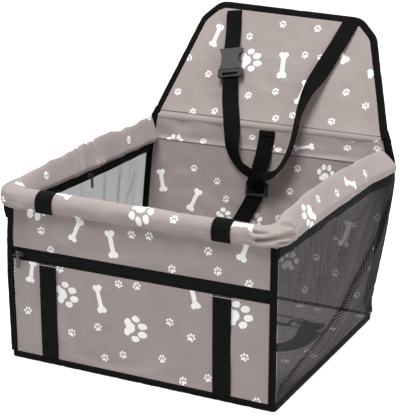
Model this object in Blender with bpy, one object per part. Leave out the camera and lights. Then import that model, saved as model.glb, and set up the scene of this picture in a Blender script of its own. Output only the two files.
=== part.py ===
"""Folding dog car seat: a cloth box with mesh sides on a tube rim, with a headrest flap and its straps.

Metres, +X to the viewer's right, +Y to the back, +Z up. The origin is the middle of the underside.
"""

import math

import bmesh
import bpy
from mathutils import Matrix, Vector

# Driving sizes of the box
BASE_WIDTH = 0.400
BASE_DEPTH = 0.360
RIM_SEAM_HEIGHT = 0.218
ZIP_HEIGHT = 0.154
BACK_LEAN = math.radians(12)
FLAP_LEAN = math.radians(26.3)
FLAP_SEAM_HEIGHT = 0.2655

# Cloth, stiffeners and the clearance kept between touching pieces
GAP = 0.0003
CLOTH = 0.0012
BOARD = 0.0030
PADDING = 0.0030
MESH_CLOTH = 0.0010
MESH_SLACK = 0.0090
WEBBING = 0.0014
HINGE_CLOTH = 0.0008

# Black edge binding
BASE_BINDING_HEIGHT = 0.010
BASE_BINDING_THICKNESS = 0.004
CORNER_BINDING_WIDTH = 0.010
CORNER_BINDING_THICKNESS = 0.005
BACK_BINDING_WIDTH = 0.012
BACK_BINDING_THICKNESS = 0.0075
MESH_BINDING_HEIGHT = 0.009
MESH_BINDING_THICKNESS = 0.003
BINDING_ROUNDING = 0.0016

# Front pocket and its zip
PANEL = 0.0016
POCKET_GAP = 0.006
LINING_TURN = 0.012
TAPE_WIDTH = 0.0072
TAPE_THICKNESS = 0.0010
TEETH_WIDTH = 0.0034
TEETH_THICKNESS = 0.0024

# Rim sleeves and the tubes inside them
SLEEVE_WIDTH = 0.026
SLEEVE_HEIGHT = 0.025
SLEEVE_CLOTH = 0.0015
SLEEVE_OVERHANG = 0.006
SLEEVE_FOLD = 0.0016
SLEEVE_CORNER_RADIUS = 0.030
SLEEVE_CORNER_RUN = 0.046
TUBE_RADIUS = 0.0080
TUBE_BORE = 0.0062
TUBE_SEAT = 0.0007
CORNER_PLUG_RUN = 0.036

# Tunnel across the back that holds the rear tube
BAND_HEIGHT = 0.039
BAND_FLANGE = 0.0075
BAND_FLANGE_THICKNESS = 0.0050
BAND_DEPTH = 0.0215

# Headrest flap
FLAP_LENGTH = 0.183
FLAP_BOTTOM_HALF = 0.198
FLAP_SHOULDER_HALF = 0.1465
FLAP_TOP_HALF = 0.118
FLAP_SHOULDER_SHARE = 0.86
FLAP_SEAM_RUN = 0.0060
FLAP_EDGE_WIDTH = 0.012
HINGE_START = 0.00015
BAND_TOP_DROP = 0.0005

# Webbing straps
STRAP_WIDTH = 0.026
FRONT_STRAP_SHARES = (-0.3375, 0.3125)
STRAP_TOP_DROP = 0.0045
STRAP_BEND_RUN = 0.012
LOOP_CLEARANCE = 0.0007
LOOP_START = -70
LOOP_END = 245

# Side-release buckle on the left headrest strap
BUCKLE_WIDTH = 0.038
BUCKLE_WAIST = 0.027
BUCKLE_LENGTH = 0.034
BUCKLE_THICKNESS = 0.0100
BUCKLE_WALL = 0.0020
BUCKLE_CAVITY_WIDTH = 0.0335
BUCKLE_END = 0.0080
PLUG_WIDTH = 0.041
PLUG_LENGTH = 0.012
PRONG_LENGTH = 0.022
PRONG_WIDTH = 0.0045
PRONG_OFFSET = 0.0125
GUIDE_WIDTH = 0.0060
PRONG_PLAY = 0.0008
PLUG_SLOT_SHARES = (0.42, 0.78)
BUCKLE_X = -0.0800
BUCKLE_RISE = 0.1140
BUCKLE_SWING = 0.17

# Strap adjuster
ADJUSTER_WIDTH = 0.036
ADJUSTER_HEIGHT = 0.022
ADJUSTER_RAIL = 0.0032
ADJUSTER_BAR = 0.0030
ADJUSTER_PLATE = 0.0016
ADJUSTER_INSET = 0.0002
ADJUSTER_RISE = 0.162
ADJUSTER_X = -0.002

# Zip sliders and pullers
SLIDER_LENGTH = 0.011
SLIDER_HEIGHT = 0.008
SLIDER_THICKNESS = 0.0022
BRIDGE_RADIUS = 0.0007
BRIDGE_STAND = 0.0036
BRIDGE_LENGTH = 0.0070
RING_RADIUS = 0.0022
RING_WIRE = 0.0006
PULLER_LENGTH = 0.017
PULLER_WIDTH = 0.0055
PULLER_THICKNESS = 0.0012

# Tether and the straps where they meet the adjuster
ADJUSTER_LIFT = 0.0035
STRAP_END_RUN = 0.0180
STRAP_END_CLEARANCE = 0.0016
STRAP_MEET = 0.0050
TETHER_RUN = 0.0160
TETHER_SWAY = 0.0060
TETHER_TURN = 0.0300
TETHER_RISE_SHARES = (0.70, 0.36)

# Where the headrest straps lie: shares of the base's width and of the flap's length or the back's height
LEFT_FLAP_SHARES = ((-0.1650, 0.1858), (-0.1425, 0.0328))
LEFT_BACK_SHARES = ((-0.1300, 0.9429), (-0.1075, 0.8509), (-0.0550, 0.7896))
RIGHT_FLAP_SHARES = ((0.2225, 0.7104), (0.1750, 0.4754), (0.1425, 0.2514), (0.12625, 0.0328))
RIGHT_BACK_SHARES = ((0.12375, 0.9429), (0.1075, 0.8509), (0.0525, 0.7896))
RIGHT_TOP_SHARE = 0.26
FLAP_LIFTS = (1.6, 2.0, 2.4, 3.0)

# Zip inside the left rim
RIM_TAPE_HEIGHT = 0.0120
RIM_SLIDER_Y = 0.0250

# Snap hook at the end of the tether
EYE_X = 0.146
EYE_Y = 0.081
HOOK_WIRE = 0.0022
HOOK_RADIUS = 0.0088
HOOK_SHANK = 0.010
HOOK_LENGTH = 0.016
EYE_WIRE = 0.0020
EYE_LENGTH = 0.011
BARREL_RADIUS = 0.0048
BARREL_LENGTH = 0.0080
GATE_THICKNESS = 0.0024
GATE_PIVOT_SHARE = 0.50

# Levels of detail
ROUND_SIDES = 16
SLEEVE_SIDES = 14
WIRE_SIDES = 8
LOOP_STEPS = 14
MESH_COLUMNS = 18
MESH_ROWS = 10

# One named overrun for cuts
OVERRUN = 0.002

HALF_WIDTH = BASE_WIDTH / 2
FRONT_Y = -BASE_DEPTH / 2
REAR_Y = BASE_DEPTH / 2
WALL_BOTTOM = BASE_BINDING_HEIGHT + GAP
FLOOR_TOP = 2 * CLOTH + BOARD + 2 * GAP
LAMINATE = 2 * CLOTH + PADDING + 2 * GAP
WALL_TOP = RIM_SEAM_HEIGHT - GAP
ZIP_HALF = TAPE_WIDTH + TEETH_WIDTH / 2
SLEEVE_MIDDLE = RIM_SEAM_HEIGHT + SLEEVE_HEIGHT / 2
TUBE_HEIGHT = SLEEVE_MIDDLE + SLEEVE_HEIGHT / 2 - SLEEVE_CLOTH - TUBE_SEAT - TUBE_RADIUS
SEAM_OUT = SLEEVE_WIDTH / 2 - SLEEVE_OVERHANG - PANEL / 2
SIDE_SLEEVE_X = HALF_WIDTH + SLEEVE_OVERHANG - SLEEVE_WIDTH / 2
FRONT_SLEEVE_Y = FRONT_Y - SLEEVE_OVERHANG + SLEEVE_WIDTH / 2

HOOK_AXIS_HEIGHT = FLOOR_TOP + GAP + HOOK_RADIUS + HOOK_WIRE
HOOK_X = EYE_X - STRAP_WIDTH / 2 - 2 * EYE_WIRE - BARREL_LENGTH

BACK_UP = Vector((0, math.sin(BACK_LEAN), math.cos(BACK_LEAN)))
BACK_OUT = Vector((0, math.cos(BACK_LEAN), -math.sin(BACK_LEAN)))
FLAP_UP = Vector((0, math.sin(FLAP_LEAN), math.cos(FLAP_LEAN)))
FLAP_OUT = Vector((0, math.cos(FLAP_LEAN), -math.sin(FLAP_LEAN)))
BACK_FOOT = Vector((0, REAR_Y - LAMINATE, WALL_BOTTOM))
FLAP_SEAM_RISE = (FLAP_SEAM_HEIGHT - WALL_BOTTOM) / math.cos(BACK_LEAN)
BAND_TOP = FLAP_SEAM_RISE - BAND_TOP_DROP
BAND_BOTTOM = BAND_TOP - BAND_HEIGHT
HINGE_POINT = BACK_FOOT + BACK_UP * FLAP_SEAM_RISE + BACK_OUT * (LAMINATE / 2)


def on_back(x, rise, out):
    """A point of the leaning back: rise up it from its foot, out behind its inner face."""
    return BACK_FOOT + Vector((x, 0, 0)) + BACK_UP * rise + BACK_OUT * out


def on_flap(x, rise, out):
    """A point of the flap: rise above the hinge, out behind the flap's middle."""
    return HINGE_POINT + Vector((x, 0, 0)) + FLAP_UP * rise + FLAP_OUT * out


def clear_scene():
    for old in list(bpy.data.objects):
        bpy.data.objects.remove(old, do_unlink=True)


def material(name, colour, roughness, metallic=0.0, alpha=1.0):
    made = bpy.data.materials.new(name)
    made.use_nodes = True
    shader = made.node_tree.nodes["Principled BSDF"]
    shader.inputs["Base Color"].default_value = (*colour, 1.0)
    shader.inputs["Roughness"].default_value = roughness
    shader.inputs["Metallic"].default_value = metallic
    shader.inputs["Alpha"].default_value = alpha
    made.diffuse_color = (*colour, alpha)
    return made


def finish_object(name, mesh, look, origin=None):
    """Puts the mesh in the scene, with the object's origin on its joint's axis where it has one."""
    if origin is not None:
        mesh.transform(Matrix.Translation(-origin))
    mesh.materials.append(look)
    made = bpy.data.objects.new(name, mesh)
    if origin is not None:
        made.location = origin
    bpy.context.scene.collection.objects.link(made)
    return made


def mesh_from(name, points, faces, flat=False):
    """A closed mesh with its faces turned outwards and its round stretches shaded smooth."""
    work = bmesh.new()
    corners = [work.verts.new(point) for point in points]
    for face in faces:
        work.faces.new([corners[index] for index in face])
    bmesh.ops.recalc_face_normals(work, faces=work.faces)
    mesh = bpy.data.meshes.new(name)
    work.to_mesh(mesh)
    work.free()
    if not flat:
        mesh.shade_smooth()
        mesh.set_sharp_from_angle(angle=math.radians(35))
    return mesh


def loft(name, rings, look, closed=False, origin=None):
    """One body through rings of as many points each, capped at its ends unless it closes on itself."""
    count = len(rings[0])
    points = [point for ring in rings for point in ring]
    faces = []
    last = len(rings) if closed else len(rings) - 1
    for i in range(last):
        here = i * count
        there = (i + 1) % len(rings) * count
        for j in range(count):
            k = (j + 1) % count
            faces.append((here + j, here + k, there + k, there + j))
    if not closed:
        faces.append(tuple(range(count - 1, -1, -1)))
        faces.append(tuple((len(rings) - 1) * count + j for j in range(count)))
    return finish_object(name, mesh_from(name, points, faces), look, origin)


def hollow_loft(name, outer, inner, look):
    """A body through outer rings with a bore through inner rings, open at both ends."""
    count = len(outer[0])
    points = [point for ring in outer + inner for point in ring]
    shift = len(outer) * count
    faces = []
    for i in range(len(outer) - 1):
        for j in range(count):
            k = (j + 1) % count
            a, b = i * count + j, i * count + k
            faces.append((a, b, b + count, a + count))
            faces.append((shift + a, shift + a + count, shift + b + count, shift + b))
    for start in (0, (len(outer) - 1) * count):
        for j in range(count):
            k = (j + 1) % count
            faces.append((start + j, start + k, shift + start + k, shift + start + j))
    return finish_object(name, mesh_from(name, points, faces), look)


def sheet(name, front, back, look):
    """A thin body between two grids of points of the same size."""
    rows, columns = len(front), len(front[0])
    points = [point for row in front for point in row] + [point for row in back for point in row]
    shift = rows * columns
    faces = []
    for i in range(rows - 1):
        for j in range(columns - 1):
            a = i * columns + j
            faces.append((a, a + 1, a + columns + 1, a + columns))
            faces.append((shift + a, shift + a + columns, shift + a + columns + 1, shift + a + 1))
    border = [j for j in range(columns)]
    border += [i * columns + columns - 1 for i in range(1, rows)]
    border += [(rows - 1) * columns + j for j in range(columns - 2, -1, -1)]
    border += [i * columns for i in range(rows - 2, 0, -1)]
    for i, a in enumerate(border):
        b = border[(i + 1) % len(border)]
        faces.append((a, b, shift + b, shift + a))
    return finish_object(name, mesh_from(name, points, faces), look)


def block(name, low, high, look):
    """A rectangular body between two corners."""
    rings = []
    for y in (low[1], high[1]):
        rings.append(
            [
                Vector((low[0], y, low[2])),
                Vector((high[0], y, low[2])),
                Vector((high[0], y, high[2])),
                Vector((low[0], y, high[2])),
            ]
        )
    return loft(name, rings, look)


def plate(name, outline, place, near, far, look, origin=None):
    """An outline of (across, along) pairs, given its thickness from near to far by the placing function."""
    rings = [[place(across, along, depth) for across, along in outline] for depth in (near, far)]
    return loft(name, rings, look, origin=origin)


def rounded_section(width, thickness, rounding, steps=2):
    """A rectangle of (across, through) pairs about zero, with round corners."""
    rounding = min(rounding, width / 2, thickness / 2) * 0.999
    centres = (
        (width / 2 - rounding, thickness / 2 - rounding, 0),
        (rounding - width / 2, thickness / 2 - rounding, 90),
        (rounding - width / 2, rounding - thickness / 2, 180),
        (width / 2 - rounding, rounding - thickness / 2, 270),
    )
    points = []
    for across, through, turn in centres:
        for step in range(steps + 1):
            angle = math.radians(turn + 90 * step / steps)
            points.append((across + rounding * math.cos(angle), through + rounding * math.sin(angle)))
    return points


def smooth_route(route, steps):
    """Points along a curve that passes through the route's own points."""
    padded = [route[0] * 2 - route[1]] + list(route) + [route[-1] * 2 - route[-2]]
    points = []
    for i in range(1, len(padded) - 2):
        before, start, end, after = padded[i - 1 : i + 3]
        for step in range(steps):
            t = step / steps
            points.append(
                (
                    start * 2
                    + (end - before) * t
                    + (before * 2 - start * 5 + end * 4 - after) * t**2
                    + (start * 3 - before - end * 3 + after) * t**3
                )
                / 2
            )
    points.append(route[-1].copy())
    return points


def directions(points, closed=False):
    """The way that a line of points runs at each of them."""
    found = []
    for i, point in enumerate(points):
        if closed:
            ahead, behind = points[(i + 1) % len(points)], points[i - 1]
        else:
            ahead, behind = points[min(i + 1, len(points) - 1)], points[max(i - 1, 0)]
        found.append((ahead - behind).normalized())
    return found


def strip(name, points, faces_out, section, look, closed=False, origin=None):
    """A section of (across, through) pairs swept along points, with its face turned to faces_out."""
    rings = []
    for point, ahead, out in zip(points, directions(points, closed), faces_out):
        across = ahead.cross(out).normalized()
        through = across.cross(ahead).normalized()
        rings.append([point + across * a + through * t for a, t in section])
    return loft(name, rings, look, closed, origin)


def webbing(name, points, faces_out, look, width=None):
    """A flat woven strap along points that lie in its middle."""
    section = rounded_section(width or STRAP_WIDTH, WEBBING, WEBBING / 2, 1)
    return strip(name, points, faces_out, section, look)


def round_tube(name, start, end, radius, bore, look):
    """A straight pipe from start to end."""
    ahead = (end - start).normalized()
    across = ahead.orthogonal().normalized()
    up = ahead.cross(across)

    def ring(centre, size):
        turns = [2 * math.pi * i / ROUND_SIDES for i in range(ROUND_SIDES)]
        return [centre + across * size * math.cos(a) + up * size * math.sin(a) for a in turns]

    outer = [ring(start, radius), ring(end, radius)]
    inner = [ring(start, bore), ring(end, bore)]
    return hollow_loft(name, outer, inner, look)


def wire_rings(points, radius, sides=WIRE_SIDES, closed=False):
    """Rings of a round wire along points."""
    rings = []
    side = directions(points, closed)[0].orthogonal().normalized()
    for point, ahead in zip(points, directions(points, closed)):
        side = (side - ahead * side.dot(ahead)).normalized()
        up = ahead.cross(side)
        turns = [2 * math.pi * i / sides for i in range(sides)]
        rings.append([point + (side * math.cos(a) + up * math.sin(a)) * radius for a in turns])
    return rings


def joined(name, first, others, look, origin=None):
    """One body from overlapping ones, by Boolean unions that are applied."""
    for other in others:
        union = first.modifiers.new("union", "BOOLEAN")
        union.operation = "UNION"
        union.solver = "EXACT"
        union.object = other
    return applied(name, first, others, look, origin)


def pierced(name, first, cutters, look, origin=None):
    """A body with cutters taken out of it."""
    for cutter in cutters:
        cut = first.modifiers.new("cut", "BOOLEAN")
        cut.operation = "DIFFERENCE"
        cut.solver = "EXACT"
        cut.object = cutter
    return applied(name, first, cutters, look, origin)


def applied(name, first, others, look, origin):
    bpy.context.view_layer.update()
    graph = bpy.context.evaluated_depsgraph_get()
    mesh = bpy.data.meshes.new_from_object(first.evaluated_get(graph))
    mesh.transform(first.matrix_world)
    mesh.materials.clear()
    for used in [first, *others]:
        bpy.data.objects.remove(used, do_unlink=True)
    mesh.name = name
    return finish_object(name, mesh, look, origin)


def make_base(looks):
    """The floor: a stiff board between two cloths, with a black binding sewn round its edge."""
    inset = BASE_BINDING_THICKNESS + GAP
    low_x, high_x = inset - HALF_WIDTH, HALF_WIDTH - inset
    low_y, high_y = FRONT_Y + inset, REAR_Y - inset
    layers = (
        ("base_cover_under", 0, CLOTH, looks["canvas"]),
        ("base_board", CLOTH + GAP, CLOTH + GAP + BOARD, looks["board"]),
        ("base_cover_inner", FLOOR_TOP - CLOTH, FLOOR_TOP, looks["canvas"]),
    )
    for name, low, high, look in layers:
        block(name, (low_x, low_y, low), (high_x, high_y, high), look)
    corner = BASE_BINDING_THICKNESS
    middle = BASE_BINDING_THICKNESS / 2
    route = []
    for sign_x, sign_y, turn in ((1, -1, 270), (1, 1, 0), (-1, 1, 90), (-1, -1, 180)):
        centre_x = sign_x * (HALF_WIDTH - corner)
        centre_y = sign_y * (REAR_Y - corner)
        for step in range(3):
            angle = math.radians(turn + 45 * step)
            reach = corner - middle
            x = centre_x + reach * math.cos(angle)
            y = centre_y + reach * math.sin(angle)
            route.append(Vector((x, y, BASE_BINDING_HEIGHT / 2)))
    section = [
        (BASE_BINDING_HEIGHT / 2, middle),
        (-BASE_BINDING_HEIGHT / 2, middle),
        (-BASE_BINDING_HEIGHT / 2, -middle),
        (BASE_BINDING_HEIGHT / 2, -middle),
    ]
    ways = directions(route, closed=True)
    outs = [way.cross(Vector((0, 0, 1))) for way in ways]
    strip("base_binding", route, outs, section, looks["binding"], closed=True)


def strap_places():
    """Where the two straps and loops of the front stand, from the base's width."""
    return {side: BASE_WIDTH * share for side, share in zip(("left", "right"), FRONT_STRAP_SHARES)}


def make_front(looks):
    """The front wall: a zipped pocket under an upper panel, two straps sewn down it, bound corners."""
    edge = HALF_WIDTH - CORNER_BINDING_WIDTH - GAP
    pocket_top = ZIP_HEIGHT - ZIP_HALF - GAP
    upper_bottom = ZIP_HEIGHT + ZIP_HALF + GAP
    back_face = FRONT_Y + PANEL
    block("pocket_panel", (-edge, FRONT_Y, WALL_BOTTOM), (edge, back_face, pocket_top), looks["canvas"])
    block("front_upper_panel", (-edge, FRONT_Y, upper_bottom), (edge, back_face, WALL_TOP), looks["canvas"])
    inner = back_face + POCKET_GAP
    meets = back_face + GAP
    turn = upper_bottom + LINING_TURN
    foot = FLOOR_TOP + GAP
    profile = [
        (inner, foot),
        (inner + PANEL, foot),
        (inner + PANEL, upper_bottom),
        (meets + PANEL, turn),
        (meets, turn),
        (meets, turn - PANEL),
        (inner, upper_bottom - PANEL),
    ]
    rings = [[Vector((x, y, z)) for y, z in profile] for x in (-edge, edge)]
    loft("front_lining", rings, looks["canvas"])
    for side, sign in (("left", -1), ("right", 1)):
        x = strap_places()[side]
        y = FRONT_Y - GAP - WEBBING / 2
        points = [Vector((x, y, z)) for z in (WALL_BOTTOM, pocket_top / 2, pocket_top)]
        webbing("front_strap_" + side, points, [Vector((0, -1, 0))] * 3, looks["webbing"])
        middle = sign * (HALF_WIDTH - CORNER_BINDING_WIDTH / 2)
        depth = FRONT_Y + CORNER_BINDING_THICKNESS / 2 - PANEL
        points = [Vector((middle, depth, z)) for z in (WALL_BOTTOM, WALL_TOP)]
        section = rounded_section(CORNER_BINDING_WIDTH, CORNER_BINDING_THICKNESS, BINDING_ROUNDING)
        outs = [Vector((0, -1, 0))] * 2
        strip("front_binding_" + side, points, outs, section, looks["binding"])


def mesh_slack(along_share, up_share):
    """How far the loose mesh falls inwards: a long slanting crease and two lesser folds."""
    crease = math.exp(-(((along_share - 0.28 - 0.55 * up_share) / 0.10) ** 2))
    second = math.exp(-(((along_share - 0.72 - 0.25 * up_share) / 0.07) ** 2))
    third = math.exp(-(((along_share - 0.10 + 0.05 * up_share) / 0.06) ** 2))
    hold = math.sin(math.pi * along_share) * math.sin(math.pi * up_share) ** 0.6
    return (0.0 if up_share in (0, 1) or along_share in (0, 1) else hold) * (
        0.45 + 0.55 * crease + 0.35 * second + 0.25 * third
    )


def make_sides(looks):
    """The two side walls of black mesh, slack between the rim and the floor, each bound along its top."""
    top = WALL_TOP - MESH_BINDING_HEIGHT - GAP
    front = FRONT_Y - PANEL + CORNER_BINDING_THICKNESS + GAP
    for side, sign in (("left", -1), ("right", 1)):
        outer, inner = [], []
        for i in range(MESH_ROWS + 1):
            up_share = i / MESH_ROWS
            z = WALL_BOTTOM + (top - WALL_BOTTOM) * up_share
            rear = back_edge_y(z)
            outer_row, inner_row = [], []
            for j in range(MESH_COLUMNS + 1):
                along_share = j / MESH_COLUMNS
                y = front + (rear - front) * along_share
                fall = MESH_SLACK * mesh_slack(along_share, up_share)
                outer_row.append(Vector((sign * (HALF_WIDTH - fall), y, z)))
                inner_row.append(Vector((sign * (HALF_WIDTH - fall - MESH_CLOTH), y, z)))
            outer.append(outer_row)
            inner.append(inner_row)
        sheet("side_mesh_" + side, outer, inner, looks["mesh"])
        x = sign * (HALF_WIDTH - MESH_BINDING_THICKNESS / 2)
        z = WALL_TOP - MESH_BINDING_HEIGHT / 2
        ends = (front, back_edge_y(WALL_TOP - MESH_BINDING_HEIGHT))
        points = [Vector((x, y, z)) for y in ends]
        section = rounded_section(MESH_BINDING_HEIGHT, MESH_BINDING_THICKNESS, BINDING_ROUNDING)
        outs = [Vector((sign, 0, 0))] * 2
        strip("mesh_binding_" + side, points, outs, section, looks["binding"])


def back_edge_y(z):
    """Where the front of the back's edge binding is at a height, less the clearance."""
    proud = (BACK_BINDING_THICKNESS - LAMINATE) / 2
    foot = REAR_Y - LAMINATE
    return foot + (z - WALL_BOTTOM) * math.tan(BACK_LEAN) - (proud + GAP) / math.cos(BACK_LEAN)


def make_back(looks):
    """The lower back: lining, foam padding and cover, leaning back, with its edges bound."""
    edge = HALF_WIDTH - BACK_BINDING_WIDTH - GAP
    top = BAND_BOTTOM - GAP
    layers = (
        ("back_lining", 0, CLOTH, looks["canvas"]),
        ("back_padding", CLOTH + GAP, CLOTH + GAP + PADDING, looks["padding"]),
        ("back_cover", LAMINATE - CLOTH, LAMINATE, looks["canvas"]),
    )
    foot = LAMINATE * math.tan(BACK_LEAN)
    outline = [(-edge, foot), (edge, foot), (edge, top), (-edge, top)]
    for name, near, far, look in layers:
        plate(name, outline, on_back, near, far, look)
    section = rounded_section(BACK_BINDING_WIDTH, BACK_BINDING_THICKNESS, BINDING_ROUNDING)
    middle = LAMINATE / 2
    for side, sign in (("left", -1), ("right", 1)):
        x = sign * (HALF_WIDTH - BACK_BINDING_WIDTH / 2)
        outs = [-BACK_OUT] * 2
        points = [on_back(x, rise, middle) for rise in (foot, top)]
        strip("back_binding_" + side, points, outs, section, looks["binding"])
        points = [on_back(x, rise, middle) for rise in (BAND_BOTTOM, BAND_TOP)]
        strip("band_binding_" + side, points, outs, section, looks["binding"])


def sleeve_point(angle, half_width, half_height):
    """A point of the sleeve's section, out and up from its middle: an oval drawn out to its seam below."""
    up = math.sin(angle)
    return half_width * math.cos(angle) + SEAM_OUT * min(up, 0) ** 2, half_height * up


def sleeve_ring(centre, across, fold, end_y=None):
    """A ring of the rim sleeve and one of its bore, with the sleeve's folds as a change of size."""
    outer, inner = [], []
    for i in range(SLEEVE_SIDES):
        angle = 2 * math.pi * i / SLEEVE_SIDES - math.pi / 2
        fallen = SLEEVE_FOLD / 2 * max(fold, 0) * (1 - abs(math.sin(angle)))
        out, up = sleeve_point(angle, SLEEVE_WIDTH / 2 - fallen, SLEEVE_HEIGHT / 2)
        point = centre + across * out + Vector((0, 0, up))
        bore = SLEEVE_WIDTH / 2 - SLEEVE_FOLD / 2 - SLEEVE_CLOTH
        out, up = sleeve_point(angle, bore, SLEEVE_HEIGHT / 2 - SLEEVE_CLOTH)
        hole = centre + across * out + Vector((0, 0, up))
        if end_y is not None:
            point.y = end_y(point.z)
            hole.y = end_y(hole.z)
        outer.append(point)
        inner.append(hole)
    return outer, inner


def make_rim(looks):
    """The cloth sleeves round the rim, and the tubes and corner joints that they hide."""
    corner_x = SIDE_SLEEVE_X - SLEEVE_CORNER_RADIUS
    corner_y = FRONT_SLEEVE_Y + SLEEVE_CORNER_RADIUS
    joint_y = FRONT_SLEEVE_Y + SLEEVE_CORNER_RUN
    path = [(Vector((-SIDE_SLEEVE_X, joint_y, SLEEVE_MIDDLE)), Vector((-1, 0, 0)))]
    for step in range(5):
        angle = math.radians(180 + 90 * step / 4)
        way = Vector((math.cos(angle), math.sin(angle), 0))
        centre = Vector((-corner_x, corner_y, SLEEVE_MIDDLE)) + way * SLEEVE_CORNER_RADIUS
        path.append((centre, way))
    runs = 22
    for step in range(1, runs):
        x = corner_x * (2 * step / runs - 1)
        path.append((Vector((x, FRONT_SLEEVE_Y, SLEEVE_MIDDLE)), Vector((0, -1, 0))))
    for step in range(5):
        angle = math.radians(270 + 90 * step / 4)
        way = Vector((math.cos(angle), math.sin(angle), 0))
        centre = Vector((corner_x, corner_y, SLEEVE_MIDDLE)) + way * SLEEVE_CORNER_RADIUS
        path.append((centre, way))
    path.append((Vector((SIDE_SLEEVE_X, joint_y, SLEEVE_MIDDLE)), Vector((1, 0, 0))))
    outer, inner = [], []
    for i, (centre, way) in enumerate(path):
        fold = math.sin(i * 2.3) if 0 < i < len(path) - 1 else 0
        strap_here = any(abs(centre.x - x) < STRAP_WIDTH for x in strap_places().values())
        rings = sleeve_ring(centre, way, 0 if strap_here else fold)
        outer.append(rings[0])
        inner.append(rings[1])
    hollow_loft("front_rim_sleeve", outer, inner, looks["canvas"])

    def rear_end(z):
        return back_edge_y(z)

    for side, sign in (("left", -1), ("right", 1)):
        outer, inner = [], []
        start = joint_y + GAP
        runs = 18
        for step in range(runs + 1):
            y = start + (rear_end(SLEEVE_MIDDLE) - start) * step / runs
            centre = Vector((sign * SIDE_SLEEVE_X, y, SLEEVE_MIDDLE))
            last = step == runs
            fold = 0 if step == 0 or last else math.sin(step * 2.1)
            rings = sleeve_ring(centre, Vector((sign, 0, 0)), fold, rear_end if last else None)
            outer.append(rings[0])
            inner.append(rings[1])
        hollow_loft(side + "_rim_sleeve", outer, inner, looks["canvas"])

    side_x = SIDE_SLEEVE_X
    front_y = FRONT_SLEEVE_Y
    plug = CORNER_PLUG_RUN
    rear = rear_end(TUBE_HEIGHT - TUBE_RADIUS)
    for side, sign in (("left", -1), ("right", 1)):
        start = Vector((sign * side_x, front_y + plug + GAP, TUBE_HEIGHT))
        end = Vector((sign * side_x, rear, TUBE_HEIGHT))
        round_tube("rim_tube_" + side, start, end, TUBE_RADIUS, TUBE_BORE, looks["pipe"])
        bend = SLEEVE_CORNER_RADIUS
        points = [Vector((sign * side_x, front_y + plug, TUBE_HEIGHT))]
        for step in range(5):
            angle = math.radians(90 * step / 4)
            x = side_x - bend + bend * math.cos(angle)
            y = front_y + bend - bend * math.sin(angle)
            points.append(Vector((sign * x, y, TUBE_HEIGHT)))
        points.append(Vector((sign * (side_x - plug), front_y, TUBE_HEIGHT)))
        loft("rim_corner_" + side, wire_rings(points, TUBE_RADIUS, ROUND_SIDES), looks["joint"])
    reach = side_x - plug - GAP
    ends = [Vector((sign * reach, front_y, TUBE_HEIGHT)) for sign in (-1, 1)]
    round_tube("rim_tube_front", ends[0], ends[1], TUBE_RADIUS, TUBE_BORE, looks["pipe"])


def make_rim_loops(looks):
    """The two webbing loops sewn round the front of the rim."""
    for side, x in strap_places().items():
        path, outs = [], []
        lift = LOOP_CLEARANCE + WEBBING / 2
        for i in range(LOOP_STEPS + 1):
            angle = math.radians(LOOP_START + (LOOP_END - LOOP_START) * i / LOOP_STEPS)
            out, up = sleeve_point(angle, SLEEVE_WIDTH / 2 + lift, SLEEVE_HEIGHT / 2 + lift)
            path.append(Vector((x, FRONT_SLEEVE_Y - out, SLEEVE_MIDDLE + up)))
            outs.append(Vector((0, -math.cos(angle), math.sin(angle))))
        section = rounded_section(STRAP_WIDTH, WEBBING, WEBBING / 2, 1)
        strip("rim_loop_" + side, path, outs, section, looks["webbing"])


def make_band(looks):
    """The tunnel across the back, with sewn flanges above and below the rear tube."""
    edge = HALF_WIDTH - BACK_BINDING_WIDTH - GAP
    middle = (BAND_TOP + BAND_BOTTOM) / 2
    half = BAND_HEIGHT / 2 - BAND_FLANGE
    near = (LAMINATE - BAND_FLANGE_THICKNESS) / 2
    far = near + BAND_FLANGE_THICKNESS
    bulge = BAND_DEPTH - far
    hole = TUBE_RADIUS + GAP
    bore_out = near + BAND_DEPTH - near - SLEEVE_CLOTH - hole
    outline, bore = [(near, BAND_BOTTOM)], []
    outline.append((near, middle - half))
    outline.append((near, middle))
    outline.append((near, middle + half))
    outline.append((near, BAND_TOP))
    outline.append((far, BAND_TOP))
    arc = 10
    for step in range(arc + 1):
        angle = math.pi * step / arc
        outline.append((far + bulge * math.sin(angle), middle + half * math.cos(angle)))
    outline.append((far, BAND_BOTTOM))
    count = len(outline)
    start = math.atan2(BAND_BOTTOM - middle, near - bore_out)
    for i in range(count):
        angle = start - 2 * math.pi * i / count
        bore.append((bore_out + hole * math.cos(angle), middle + hole * math.sin(angle)))
    outer = [[on_back(x, rise, out) for out, rise in outline] for x in (-edge, edge)]
    inner = [[on_back(x, rise, out) for out, rise in bore] for x in (-edge, edge)]
    hollow_loft("band_sleeve", outer, inner, looks["canvas"])
    ends = [on_back(x, middle, bore_out) for x in (-edge, edge)]
    inset = (TUBE_RADIUS - TUBE_BORE) * Vector((1, 0, 0))
    round_tube("rim_tube_back", ends[0] + inset, ends[1] - inset, TUBE_RADIUS, TUBE_BORE, looks["pipe"])


def flap_outline(inset, start):
    """Half of the flap's outline from the seam to the top's middle, as (across, rise) pairs."""
    shoulder = FLAP_LENGTH * FLAP_SHOULDER_SHARE
    side_slope = (FLAP_BOTTOM_HALF - FLAP_SHOULDER_HALF) / shoulder
    lean = math.hypot(1, side_slope)
    points = [(FLAP_BOTTOM_HALF - side_slope * start - inset * lean, start)]
    steps = 6
    corner_in = (FLAP_SHOULDER_HALF - inset * lean, shoulder - inset)
    corner_out = (FLAP_TOP_HALF, FLAP_LENGTH - inset)
    peak = (corner_in[0] - side_slope * (FLAP_LENGTH - shoulder) * 0.8, FLAP_LENGTH - inset)
    for step in range(steps + 1):
        t = step / steps
        weights = ((1 - t) ** 2, 2 * t * (1 - t), t**2)
        ends = (corner_in, peak, corner_out)
        points.append(tuple(sum(w * end[k] for w, end in zip(weights, ends)) for k in (0, 1)))
    return points


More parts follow.
